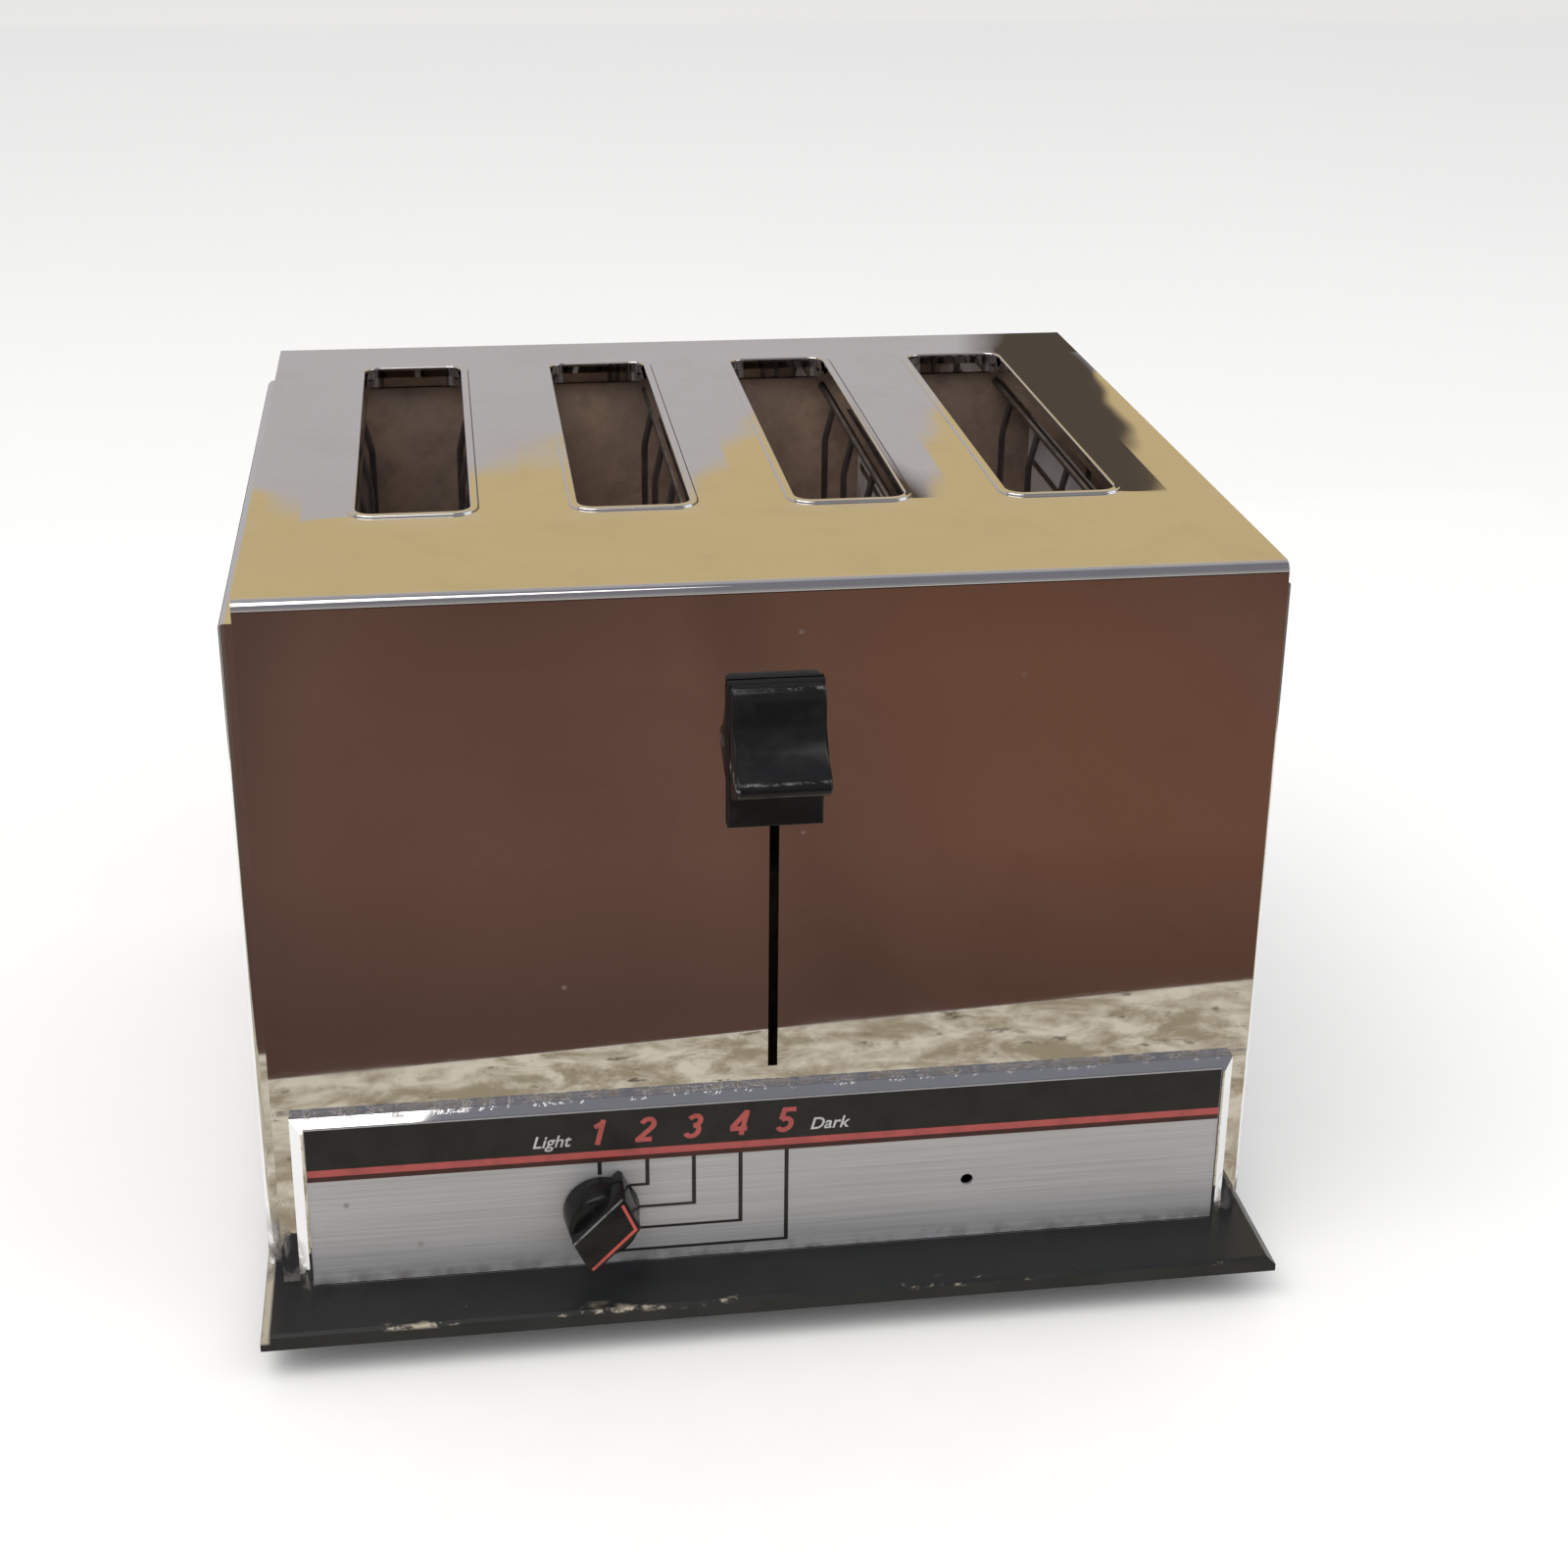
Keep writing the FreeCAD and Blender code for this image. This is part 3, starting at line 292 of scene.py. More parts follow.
def trim_chrome(settings):
    """Bright plate on the bezel and the side pans, chipped and stained on its edges."""
    c = settings.casing
    f = Finish("trim_chrome", tuple(c.trim_colour), 1.0, 0.05, IOR=2.4)
    z, x, y = f.axis("Z"), f.axis("X"), f.axis("Y")
    smudge = f.range(f.noise(26, 6, 0.6, twist=0.7), 0.44, 0.7)
    fleck = f.range(f.noise(330, 5, 0.72), 0.56, 0.62)
    ridge = f.near(z, BEZEL_TOP - 0.1 * MM, 0.9 * MM)
    back = f.range(y, SHELL_FRONT - 3.2 * MM, SHELL_FRONT - 0.8 * MM)
    front_half = f.range(y, SHELL_FRONT + 2 * MM, SHELL_FRONT)
    chip = f.both(fleck, ridge, back, front_half)
    behind_front = f.range(y, SHELL_FRONT + 1 * MM, SHELL_FRONT + 2 * MM)
    pan_front = f.both(f.range(y, PAN_CORNER[1], PAN_CORNER[0]), behind_front)
    weather = f.range(f.noise(120, 6, 0.75, (1, 1, 0.45)), 0.46, 0.58)
    low_part = f.range(z, DECK + 16 * MM, DECK + 4 * MM)
    rust = f.both(weather, pan_front, low_part)
    corner = f.both(f.near(f.math("ABSOLUTE", x), BEZEL_SIDE, 3 * MM), front_half)
    rust = f.either(rust, f.both(f.range(f.noise(260, 5, 0.7), 0.46, 0.56), corner, low_part))
    dirt = f.either(chip, rust)
    tint = f.mix(f.both(smudge, 0.25), tuple(c.trim_colour), (0.62, 0.60, 0.57))
    tint = f.mix(f.both(dirt, 0.9), tint, (0.11, 0.08, 0.06))
    f.set("Base Color", tint)
    f.set("Metallic", f.range(dirt, 0.0, 1.0, 1.0, 0.4))
    rough = f.math("ADD", 0.03, f.both(smudge, 0.04))
    f.set("Roughness", f.math("ADD", rough, f.both(dirt, 0.4)))
    normal = f.bump(f.noise(13, 1, 0.5), 0.15 * MM, 0.6)
    normal = f.bump(dirt, 0.06 * MM, 0.8, normal)
    f.set("Normal", normal)
    return f.material


def brushed_plate(settings):
    """Aluminium with a grain that runs along the panel."""
    p = settings.panel
    f = Finish("brushed_plate", tuple(p.plate_colour), 0.45, 0.4, Anisotropic=0.55)
    grain = f.noise(40, 4, 0.6, (0.5, 30, 46))
    coarse = f.noise(12, 2, 0.5, (0.4, 12, 18))
    cloud = f.noise(14, 4, 0.5)
    mark = f.range(f.cells(60), 0.04, 0.07, 1.0, 0.0)
    mark = f.both(mark, f.range(f.noise(33, 2), 0.56, 0.62))
    foot_dirt = f.range(f.axis("Z"), PLATE_FOOT + 4 * MM, PLATE_FOOT)
    foot_dirt = f.both(foot_dirt, f.range(f.noise(170, 4), 0.45, 0.62))
    shade = f.mix(f.range(grain, 0.3, 0.7), (0.40, 0.40, 0.41), (0.52, 0.52, 0.54))
    shade = f.mix(f.both(f.range(cloud, 0.4, 0.7), 0.2), shade, (0.36, 0.355, 0.36))
    dirt = f.either(f.both(mark, 0.8), f.both(foot_dirt, 0.6))
    shade = f.mix(dirt, shade, (0.12, 0.10, 0.08))
    f.set("Base Color", shade)
    rough = f.range(coarse, 0.3, 0.7, 0.36, 0.48)
    f.set("Roughness", f.math("ADD", rough, f.both(foot_dirt, 0.2)))
    f.set("Normal", f.bump(grain, 0.012 * MM, 0.7))
    return f.material


def black_phenolic(settings):
    """Satin black base board, rubbed pale along its front bevel and ends."""
    b = settings.base
    f = Finish("black_phenolic", tuple(b.board_colour), 0.0, 0.34, IOR=1.5, Specular_IOR_Level=0.35)
    z, y, x = f.axis("Z"), f.axis("Y"), f.axis("X")
    edge_z = f.near(z, DECK - 0.5 * MM, 1.0 * MM)
    front = f.range(y, BASE_FRONT + 4 * MM, BASE_FRONT + 0.5 * MM)
    ends = f.range(f.math("ABSOLUTE", x), BASE_SIDE - 3 * MM, BASE_SIDE - 0.3 * MM)
    rub = f.both(f.range(f.noise(130, 6, 0.72, (0.5, 1, 1)), 0.58, 0.64), edge_z, f.either(front, ends))
    left = f.range(x, 2.4 * MM - BASE_SIDE, 1.6 * MM - BASE_SIDE)
    left = f.both(left, f.range(z, DECK - 2.4 * MM, DECK - 1.8 * MM))
    rub = f.either(rub, f.both(left, f.range(f.noise(70, 5, 0.7), 0.38, 0.52)))
    fleck = f.both(f.range(f.noise(420, 3, 0.6), 0.72, 0.75), b.wear)
    dust = f.range(f.noise(60, 5, 0.6), 0.45, 0.75)
    shade = f.mix(f.both(dust, 0.25), tuple(b.board_colour), (0.03, 0.031, 0.032))
    shade = f.mix(f.both(fleck, 0.35), shade, (0.25, 0.25, 0.24))
    shade = f.mix(f.both(rub, b.wear), shade, (0.48, 0.42, 0.32))
    f.set("Base Color", shade)
    rough = f.math("ADD", 0.30, f.both(dust, 0.16))
    f.set("Roughness", f.math("ADD", rough, f.both(rub, 0.3)))
    normal = f.bump(f.noise(45, 3, 0.5), 0.06 * MM, 0.5)
    f.set("Normal", f.bump(f.math("SUBTRACT", fleck, rub), 0.04 * MM, 0.6, normal))
    return f.material


def black_plastic(name, colour, wear_and_highlight_mask=None, wear_and_highlight_colour=(0.42, 0.42, 0.41), gloss=0.34):
    """Moulded black plastic with a fine texture; the mask function given paints its pale edges: rubbed wear
    with painted highlights on the lever, a painted highlight on the dial.
    """
    f = Finish(name, colour, 0.0, gloss, IOR=1.5, Specular_IOR_Level=0.3)
    fine = f.noise(900, 3, 0.6)
    dust = f.range(f.noise(140, 5, 0.65), 0.48, 0.72)
    shade = f.mix(f.both(dust, 0.2), colour, (0.03, 0.03, 0.03))
    rough = f.math("ADD", gloss - 0.06, f.both(dust, 0.2))
    normal = f.bump(fine, 0.02 * MM, 0.4)
    if wear_and_highlight_mask is not None:
        wear_and_highlight = wear_and_highlight_mask(f)
        # Pale edges from the mask: rubbed wear and painted highlights on the lever, a painted highlight on
        # the dial.
        shade = f.mix(wear_and_highlight, shade, wear_and_highlight_colour)
        rough = f.math("ADD", rough, f.both(wear_and_highlight, 0.2))
        normal = f.bump(wear_and_highlight, -0.03 * MM, 0.6, normal)
    return f.done(
        shade,
        rough,
        normal)


def foot_rubber():
    f = Finish("foot_rubber", (0.03, 0.03, 0.03), 0.0, 0.75)
    dust = f.range(f.noise(120, 5, 0.7), 0.42, 0.7)
    return f.done(
        f.mix(f.both(dust, 0.5), (0.025, 0.025, 0.026), (0.10, 0.095, 0.09)),
        f.range(dust, 0.0, 1.0, 0.62, 0.88),
        f.bump(f.noise(700, 3), 0.03 * MM, 0.5))


def heat_steel():
    """Steel browned and blued by years of heat."""
    f = Finish("heat_steel", (0.40, 0.29, 0.22), 0.3, 0.5)
    blush = f.noise(21, 5, 0.6, twist=1.2)
    crust = f.range(f.noise(130, 6, 0.7), 0.45, 0.68)
    shade = f.mix(f.range(blush, 0.36, 0.6), (0.34, 0.25, 0.20), (0.50, 0.34, 0.24))
    shade = f.mix(f.range(blush, 0.56, 0.74), shade, (0.42, 0.37, 0.38))
    shade = f.mix(f.both(crust, 0.45), shade, (0.12, 0.085, 0.065))
    return f.done(
        shade,
        f.range(crust, 0.0, 1.0, 0.42, 0.72),
        f.bump(crust, 0.05 * MM, 0.5))


def zinc_steel():
    """Dull zinc plate with a spangle."""
    f = Finish("zinc_steel", (0.5, 0.5, 0.49), 1.0, 0.4)
    spangle = f.cells(210)
    tarnish = f.range(f.noise(45, 5, 0.65), 0.45, 0.72)
    shade = f.mix(f.range(spangle, 0.1, 0.7), (0.42, 0.42, 0.42), (0.58, 0.58, 0.57))
    shade = f.mix(f.both(tarnish, 0.6), shade, (0.25, 0.21, 0.17))
    return f.done(
        shade,
        f.range(tarnish, 0.0, 1.0, 0.3, 0.58),
        f.bump(spangle, 0.02 * MM, 0.4))


def mica():
    """Mica sheet: cloudy flakes in grey, a little lilac."""
    f = Finish("mica", (0.36, 0.33, 0.33), 0.0, 0.35, IOR=1.58)
    flake = f.cells(75, (1, 0.6, 1))
    cloud = f.noise(34, 5, 0.6, twist=1.0)
    shade = f.mix(f.range(flake, 0.1, 0.6), (0.46, 0.42, 0.43), (0.64, 0.60, 0.61))
    shade = f.mix(f.both(f.range(cloud, 0.45, 0.7), 0.6), shade, (0.42, 0.29, 0.22))
    return f.done(
        shade,
        f.range(cloud, 0.3, 0.7, 0.25, 0.5),
        f.bump(flake, 0.05 * MM, 0.5))


def plain_metal(name, light, dark, roughness, scale, grain_depth):
    """A small metal part: two tones of tarnish and a fine grain."""
    f = Finish(name, light, 1.0, roughness)
    tarnish = f.range(f.noise(scale, 5, 0.65), 0.4, 0.7)
    return f.done(
        f.mix(tarnish, light, dark),
        f.range(tarnish, 0.0, 1.0, roughness, roughness + 0.25),
        f.bump(f.noise(scale * 9, 3), grain_depth, 0.5))


def coil_winding():
    """Varnished copper turns lying side by side."""
    turn_pitch = 0.7 * MM
    f = Finish("coil_winding", (0.45, 0.19, 0.08), 0.7, 0.28, Coat_Weight=0.4)
    wave = f.math("SINE", f.both(f.axis("Z"), 2 * math.pi / turn_pitch))
    # Each turn shades darker towards the grooves between turns: painted shade, with a bump from the same
    # wave.
    return f.done(
        f.mix(f.range(wave, -1.0, 1.0), (0.20, 0.07, 0.03), (0.52, 0.23, 0.09)),
        f.range(f.noise(90), 0.3, 0.7, 0.22, 0.4),
        f.bump(wave, 0.12 * MM, 0.9))


def insulator():
    """Brown moulded resin, a little mottled."""
    f = Finish("insulator", (0.13, 0.075, 0.045), 0.0, 0.4)
    mottle = f.noise(95, 5, 0.65, twist=0.8)
    return f.done(
        f.mix(f.range(mottle, 0.35, 0.68), (0.09, 0.05, 0.032), (0.17, 0.10, 0.06)),
        f.range(mottle, 0.3, 0.7, 0.32, 0.5),
        f.bump(f.noise(650, 3), 0.02 * MM, 0.5))


def print_ink(name, colour, roughness=0.42):
    """Screen-printed ink, thin and slightly uneven."""
    f = Finish(name, colour, 0.0, roughness)
    patch = f.noise(160, 5, 0.65)
    dull = tuple(v * 0.72 for v in colour)
    return f.done(
        f.mix(f.range(patch, 0.45, 0.7), colour, dull),
        f.range(patch, 0.3, 0.7, roughness - 0.08, roughness + 0.12),
        f.bump(f.noise(900, 2), 0.008 * MM, 0.4))


def lever_wear_and_highlight(f):
    """Rubbed plastic on the lever's top ridge, lip and corners, which also paints the highlights there."""
    z, y, x = f.axis("Z"), f.axis("Y"), f.axis("X")
    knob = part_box("lever_knob")
    ridge = f.both(f.near(z, knob[1].z, 0.7 * MM), f.near(y, SHELL_FRONT - 5.8 * MM, 1.4 * MM))
    lip = f.both(f.near(z, knob[1].z - 17.7 * MM, 0.5 * MM), f.near(y, knob[0].y, 1.2 * MM))
    left = f.near(x, knob[0].x, 0.8 * MM)
    ends = f.either(f.near(z, knob[1].z - 18.5 * MM, 2.0 * MM), f.near(z, knob[1].z, 1.6 * MM))
    corner = f.both(left, ends)
    patch = f.range(f.noise(300, 5, 0.7), 0.50, 0.60)
    return f.both(f.either(f.both(ridge, 0.5), f.both(lip, 0.45), f.both(corner, 0.95)), patch)


# ---- meshes

def piece(name, bm, material, body, smooth_angle=32.0, replaces=()):
    """Turns a bmesh in metres into a named piece that rides on a body."""
    bmesh.ops.remove_doubles(bm, verts=bm.verts, dist=1e-6)
    bmesh.ops.recalc_face_normals(bm, faces=bm.faces)
    mesh = bpy.data.meshes.new(name)
    bm.to_mesh(mesh)
    bm.free()
    mesh.polygons.foreach_set("use_smooth", [True] * len(mesh.polygons))
    mesh.set_sharp_from_angle(angle=math.radians(smooth_angle))
    mesh.materials.append(material)
    made = bpy.data.objects.new(name, mesh)
    bpy.context.scene.collection.objects.link(made)
    if body is not None:
        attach(made, body)
    if replaces:
        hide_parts(*replaces)
    return made


def prism(bm, outline, place, depth):
    """Extrudes a flat outline; place(u, v, w) turns its points into space."""
    lower = [bm.verts.new(place(u, v, 0.0)) for u, v in outline]
    upper = [bm.verts.new(place(u, v, depth)) for u, v in outline]
    bm.faces.new(lower)
    bm.faces.new(upper)
    count = len(outline)
    for i in range(count):
        j = (i + 1) % count
        bm.faces.new((lower[i], lower[j], upper[j], upper[i]))
    return lower, upper


def round_edges(bm, edges, radius, steps=3):
    bmesh.ops.bevel(bm, geom=edges, offset=radius, offset_type="OFFSET", segments=steps,
                    profile=0.5, affect="EDGES", clamp_overlap=True)


def strip(bm, points, width, place, depth):
    """A flat mitred strip that follows a polyline of right-angled or slanted runs."""
    path = [Vector(p) for p in points]
    left, right = [], []
    for i, p in enumerate(path):
        before = (p - path[i - 1]).normalized() if i else None
        after = (path[i + 1] - p).normalized() if i + 1 < len(path) else None
        run = before or after
        side = Vector((-run.y, run.x))
        if before and after:
            other = Vector((-after.y, after.x))
            total = (side + other).normalized()
            side = total / max(0.3, total.dot(other))
        left.append(p + side * width / 2)
        right.append(p - side * width / 2)
    return prism(bm, [tuple(p) for p in left + right[::-1]], place, depth)


def tube(bm, path, radius, sides):
    """A round wire along a polyline, closed at both ends."""
    rings = []
    up = Vector((0.0, 1.0, 0.0))
    for i, p in enumerate(path):
        a = path[max(i - 1, 0)]
        b = path[min(i + 1, len(path) - 1)]
        run = (b - a).normalized()
        if abs(run.dot(up)) > 0.95:
            up = Vector((1.0, 0.0, 0.0))
        across = run.cross(up).normalized()
        up = across.cross(run).normalized()
        ring = []
        for k in range(sides):
            t = 2 * math.pi * k / sides
            ring.append(bm.verts.new(p + (across * math.cos(t) + up * math.sin(t)) * radius))
        rings.append(ring)
    for a, b in zip(rings, rings[1:]):
        for k in range(sides):
            n = (k + 1) % sides
            bm.faces.new((a[k], a[n], b[n], b[k]))
    bm.faces.new(rings[0])
    bm.faces.new(rings[-1])


def lathe(bm, profile, centre, steps=72):
    """Spins (radius, y) points about an axis along Y through centre (x, z)."""
    rings = []
    for radius, y in profile:
        ring = []
        for k in range(steps):
            t = 2 * math.pi * k / steps
            x, z = centre[0] + radius * math.cos(t), centre[1] + radius * math.sin(t)
            ring.append(bm.verts.new((x, y, z)))
        rings.append(ring)
    for a, b in zip(rings, rings[1:]):
        for k in range(steps):
            n = (k + 1) % steps
            bm.faces.new((a[k], a[n], b[n], b[k]))
    bm.faces.new(rings[0])
    bm.faces.new(rings[-1])


def coat(material, *nodes):
    """Gives carried-over nodes a finish."""
    for name in nodes:
        mesh = NODES[name].data
        mesh.materials.clear()
        mesh.materials.append(material)


def on_panel(lift):
    """Places flat artwork on the faceplate: u is x, v is z, w comes forward."""
    def place(u, v, w):
        return (u * MM, PLATE_FRONT - lift * MM - w * MM, v * MM)
    return place


# ---- what a user can change

COLOUR = {"subtype": "COLOR", "min": 0, "max": 1}
LENGTH = {"subtype": "DISTANCE", "unit": "LENGTH"}


class CasingSettings(bpy.types.PropertyGroup):
    chrome_colour: bpy.props.FloatVectorProperty(
        name="Chrome", description="Colour of the wrap's mirror plate", **COLOUR,
        default=(0.80, 0.785, 0.77))
    trim_colour: bpy.props.FloatVectorProperty(
        name="Trim", description="Colour of the bezel and side pans", **COLOUR,
        default=(0.84, 0.84, 0.84))
    chrome_haze: bpy.props.FloatProperty(
        name="Haze", description="Roughness of clean chrome", min=0, max=1, subtype="FACTOR", default=0.02)
    slot_dish: bpy.props.FloatProperty(
        name="Slot dish", description="How far the top dips beside the slots", **LENGTH,
        default=0.6 * MM)
    panel_ripple: bpy.props.FloatProperty(
        name="Ripple", description="Depth of the slow waves in the sheet", **LENGTH,
        default=0.22 * MM)


class PanelSettings(bpy.types.PropertyGroup):
    plate_colour: bpy.props.FloatVectorProperty(
        name="Plate", description="Colour of the brushed faceplate", **COLOUR,
        default=(0.60, 0.60, 0.60))
    band_colour: bpy.props.FloatVectorProperty(
        name="Band", description="Colour of the dark band", **COLOUR,
        default=(0.012, 0.012, 0.012))
    stripe_colour: bpy.props.FloatVectorProperty(
        name="Stripe", description="Colour of the stripe and numerals", **COLOUR,
        default=(0.36, 0.065, 0.06))
    line_colour: bpy.props.FloatVectorProperty(
        name="Line", description="Colour of the dark line under the stripe", **COLOUR,
        default=(0.05, 0.012, 0.01))
    word_colour: bpy.props.FloatVectorProperty(
        name="Words", description="Colour of the words beside the numerals", **COLOUR,
        default=(0.42, 0.42, 0.41))
    numeral_height: bpy.props.FloatProperty(
        name="Numeral height", description="Cap height of the numerals", **LENGTH,
        default=6.6 * MM)
    word_height: bpy.props.FloatProperty(
        name="Word height", description="Cap height of the words", **LENGTH,
        default=3.1 * MM)


class BaseSettings(bpy.types.PropertyGroup):
    board_colour: bpy.props.FloatVectorProperty(
        name="Board", description="Colour of the base board", **COLOUR,
        default=(0.014, 0.015, 0.015))
    wear: bpy.props.FloatProperty(
        name="Wear", description="How strongly the edges are rubbed", min=0, max=1, subtype="FACTOR",
        default=0.75)


class HandleSettings(bpy.types.PropertyGroup):
    plastic_colour: bpy.props.FloatVectorProperty(
        name="Plastic", description="Colour of the lever and dial", **COLOUR,
        default=(0.006, 0.0065, 0.007))
    lever_round: bpy.props.FloatProperty(
        name="Lever rounding", description="Radius on the lever's ends", **LENGTH,
        default=0.7 * MM)
    grip_angle: bpy.props.FloatProperty(
        name="Grip angle", description="How far the dial's grip leans from level", subtype="ANGLE",
        unit="ROTATION", default=math.radians(45))
    mark_width: bpy.props.FloatProperty(
        name="Mark width", description="Width of the dial's pointer line", **LENGTH,
        default=0.7 * MM)


class SpringSettings(bpy.types.PropertyGroup):
    outer_radius: bpy.props.FloatProperty(
        name="Coil radius", description="Outer radius of a lift spring", **LENGTH,
        default=3.65 * MM)
    wire_radius: bpy.props.FloatProperty(
        name="Wire radius", description="Radius of the spring wire", **LENGTH,
        default=0.45 * MM)
    turns: bpy.props.IntProperty(
        name="Turns", description="Turns in a lift spring", min=3, default=26)


class StudioSettings(bpy.types.PropertyGroup):
    floor_colour: bpy.props.FloatVectorProperty(
        name="Floor", description="Colour of the floor", **COLOUR,
        default=(0.86, 0.86, 0.86))
    key_power: bpy.props.FloatProperty(
        name="Key light", description="Power of the large soft light", unit="POWER", default=11.0)
    fill_power: bpy.props.FloatProperty(
        name="Fill light", description="Power of the side light", unit="POWER", default=4.0)
    lens: bpy.props.FloatProperty(
        name="Lens", description="Focal length", unit="CAMERA", default=56.275)
    camera_place: bpy.props.FloatVectorProperty(
        name="Camera", description="Where the camera stands", subtype="TRANSLATION",
        unit="LENGTH", default=(-0.0688, -0.5936, 0.3565))


class ToasterSettings(bpy.types.PropertyGroup):
    casing: bpy.props.PointerProperty(type=CasingSettings, name="Casing", description="The chrome casing")
    panel: bpy.props.PointerProperty(type=PanelSettings, name="Panel", description="The control panel")
    base: bpy.props.PointerProperty(type=BaseSettings, name="Base", description="The base board and feet")
    handles: bpy.props.PointerProperty(type=HandleSettings, name="Handles", description="The lever and dial")
    springs: bpy.props.PointerProperty(type=SpringSettings, name="Springs", description="The lift springs")
    studio: bpy.props.PointerProperty(type=StudioSettings, name="Studio", description="Floor, lights, camera")


# ---- operators

class TOASTER_OT_casing(bpy.types.Operator):
    """Finish the chrome wrap, the side pans and the slots"""
    bl_idname = "toaster.casing"
    bl_label = "Casing"

    def execute(self, context):
        s = context.scene.toaster
        coat(mirror_chrome(s), "outer_shell")
        coat(trim_chrome(s), "side_panel_left", "side_panel_right", "control_bezel")
        return {"FINISHED"}


class TOASTER_OT_panel(bpy.types.Operator):
    """Finish the faceplate and print its band, stripe, scale and leader lines"""
    bl_idname = "toaster.panel"
    bl_label = "Control panel"

    band_foot = 32.4
    stripe_foot = 30.6
    line_foot = 29.3
    numeral_x = (-41.0, -30.0, -19.0, -8.0, 2.7)
    numeral_z = 37.4
    stroke = 1.2
    lean = 0.24
    upright_width = 0.95
    level_width = 0.7
    ink_depth = 0.05
    edge_gap = 0.15
    join_gap = 0.02
    over_ink = 0.06
    box_height = 6.6
    word_light = (-51.8, 35.8)
    word_dark = (13.2, 35.9)
    word_weight = 0.012
    word_lean = 0.28
    font_cap = 0.70
    leaders = (
        (-41.0, 26.3, None),
        (-29.9, 22.5, -34.2),
        (-19.0, 16.4, -31.8),
        (-8.0, 10.6, -31.9),
        (2.9, 4.6, -36.8),
    )

    def arc(self, x, z, radius, start, end, steps=12):
        """Points round part of a circle, angles in degrees."""
        turns = [math.radians(start + (end - start) * i / steps) for i in range(steps + 1)]
        return [(x + radius * math.cos(t), z + radius * math.sin(t)) for t in turns]

    def numeral_strokes(self, digit):
        """Centre lines of a digit's strokes, in a box 6.6 high that stands on z = 0."""
        shapes = {
            1: [[(-1.3, 4.7), (0.35, 5.85)], [(0.35, 6.6), (0.35, 0.0)]],
            2: [self.arc(0.0, 4.55, 1.45, 165, -35) + [(-1.35, 0.75)], [(-1.95, 0.6), (1.85, 0.6)]],
            3: [self.arc(-0.05, 4.65, 1.35, 155, -90), self.arc(-0.05, 2.1, 1.5, 90, -155)],
            4: [[(0.85, 6.6), (0.85, 0.0)], [(0.75, 6.2), (-1.75, 2.1)], [(-2.1, 1.75), (1.9, 1.75)]],
            5: [[(1.75, 6.0), (-0.95, 6.0), (-1.2, 3.45)], self.arc(-0.1, 2.1, 1.55, 128, -155)],
        }
        return shapes[digit]

    def artwork(self, name, material, outline, depth):
        bm = bmesh.new()
        prism(bm, outline, on_panel(0.0), depth)
        return piece(name, bm, material, "body")

    def lettering(self, name, text, material, cap_height, x, z):
        curve = bpy.data.curves.new(name, "FONT")
        curve.body = text
        curve.align_x = "CENTER"
        curve.size = 1.0
        curve.shear = self.word_lean
        curve.offset = self.word_weight
        curve.resolution_u = 6
        made = bpy.data.objects.new(name, curve)
        bpy.context.scene.collection.objects.link(made)
        bpy.context.view_layer.update()
        flat = bpy.data.meshes.new_from_object(made.evaluated_get(bpy.context.evaluated_depsgraph_get()))
        bpy.data.objects.remove(made)
        xs = [v.co.x for v in flat.vertices]
        centre = (min(xs) + max(xs)) / 2
        scale = cap_height / self.font_cap
        bm = bmesh.new()
        bm.from_mesh(flat)
        bmesh.ops.remove_doubles(bm, verts=bm.verts, dist=1e-5)
        for v in bm.verts:
            u, h = (v.co.x - centre) * scale, (v.co.y - self.font_cap / 2) * scale
            v.co = Vector((x * MM + u, PLATE_FRONT - self.over_ink * MM, DECK + z * MM + h))
        shell = bmesh.ops.extrude_face_region(bm, geom=bm.faces[:])
        forward = [v for v in shell["geom"] if isinstance(v, bmesh.types.BMVert)]
        bmesh.ops.translate(bm, verts=forward, vec=(0, -self.ink_depth * MM, 0))
        return piece(name, bm, material, "body")

    def execute(self, context):
        s = context.scene.toaster
        p = s.panel
        coat(brushed_plate(s), "control_faceplate")
        black = print_ink("band_ink", tuple(p.band_colour), 0.34)
        maroon = print_ink("line_ink", tuple(p.line_colour))
        red = print_ink("stripe_ink", tuple(p.stripe_colour))
        grey = print_ink("word_ink", tuple(p.word_colour))
        deck = DECK / MM
        x0 = PLATE_LEFT / MM + self.edge_gap
        x1 = PLATE_RIGHT / MM - self.edge_gap

        def bar(z0, z1):
            return ((x0, deck + z0), (x1, deck + z0), (x1, deck + z1), (x0, deck + z1))

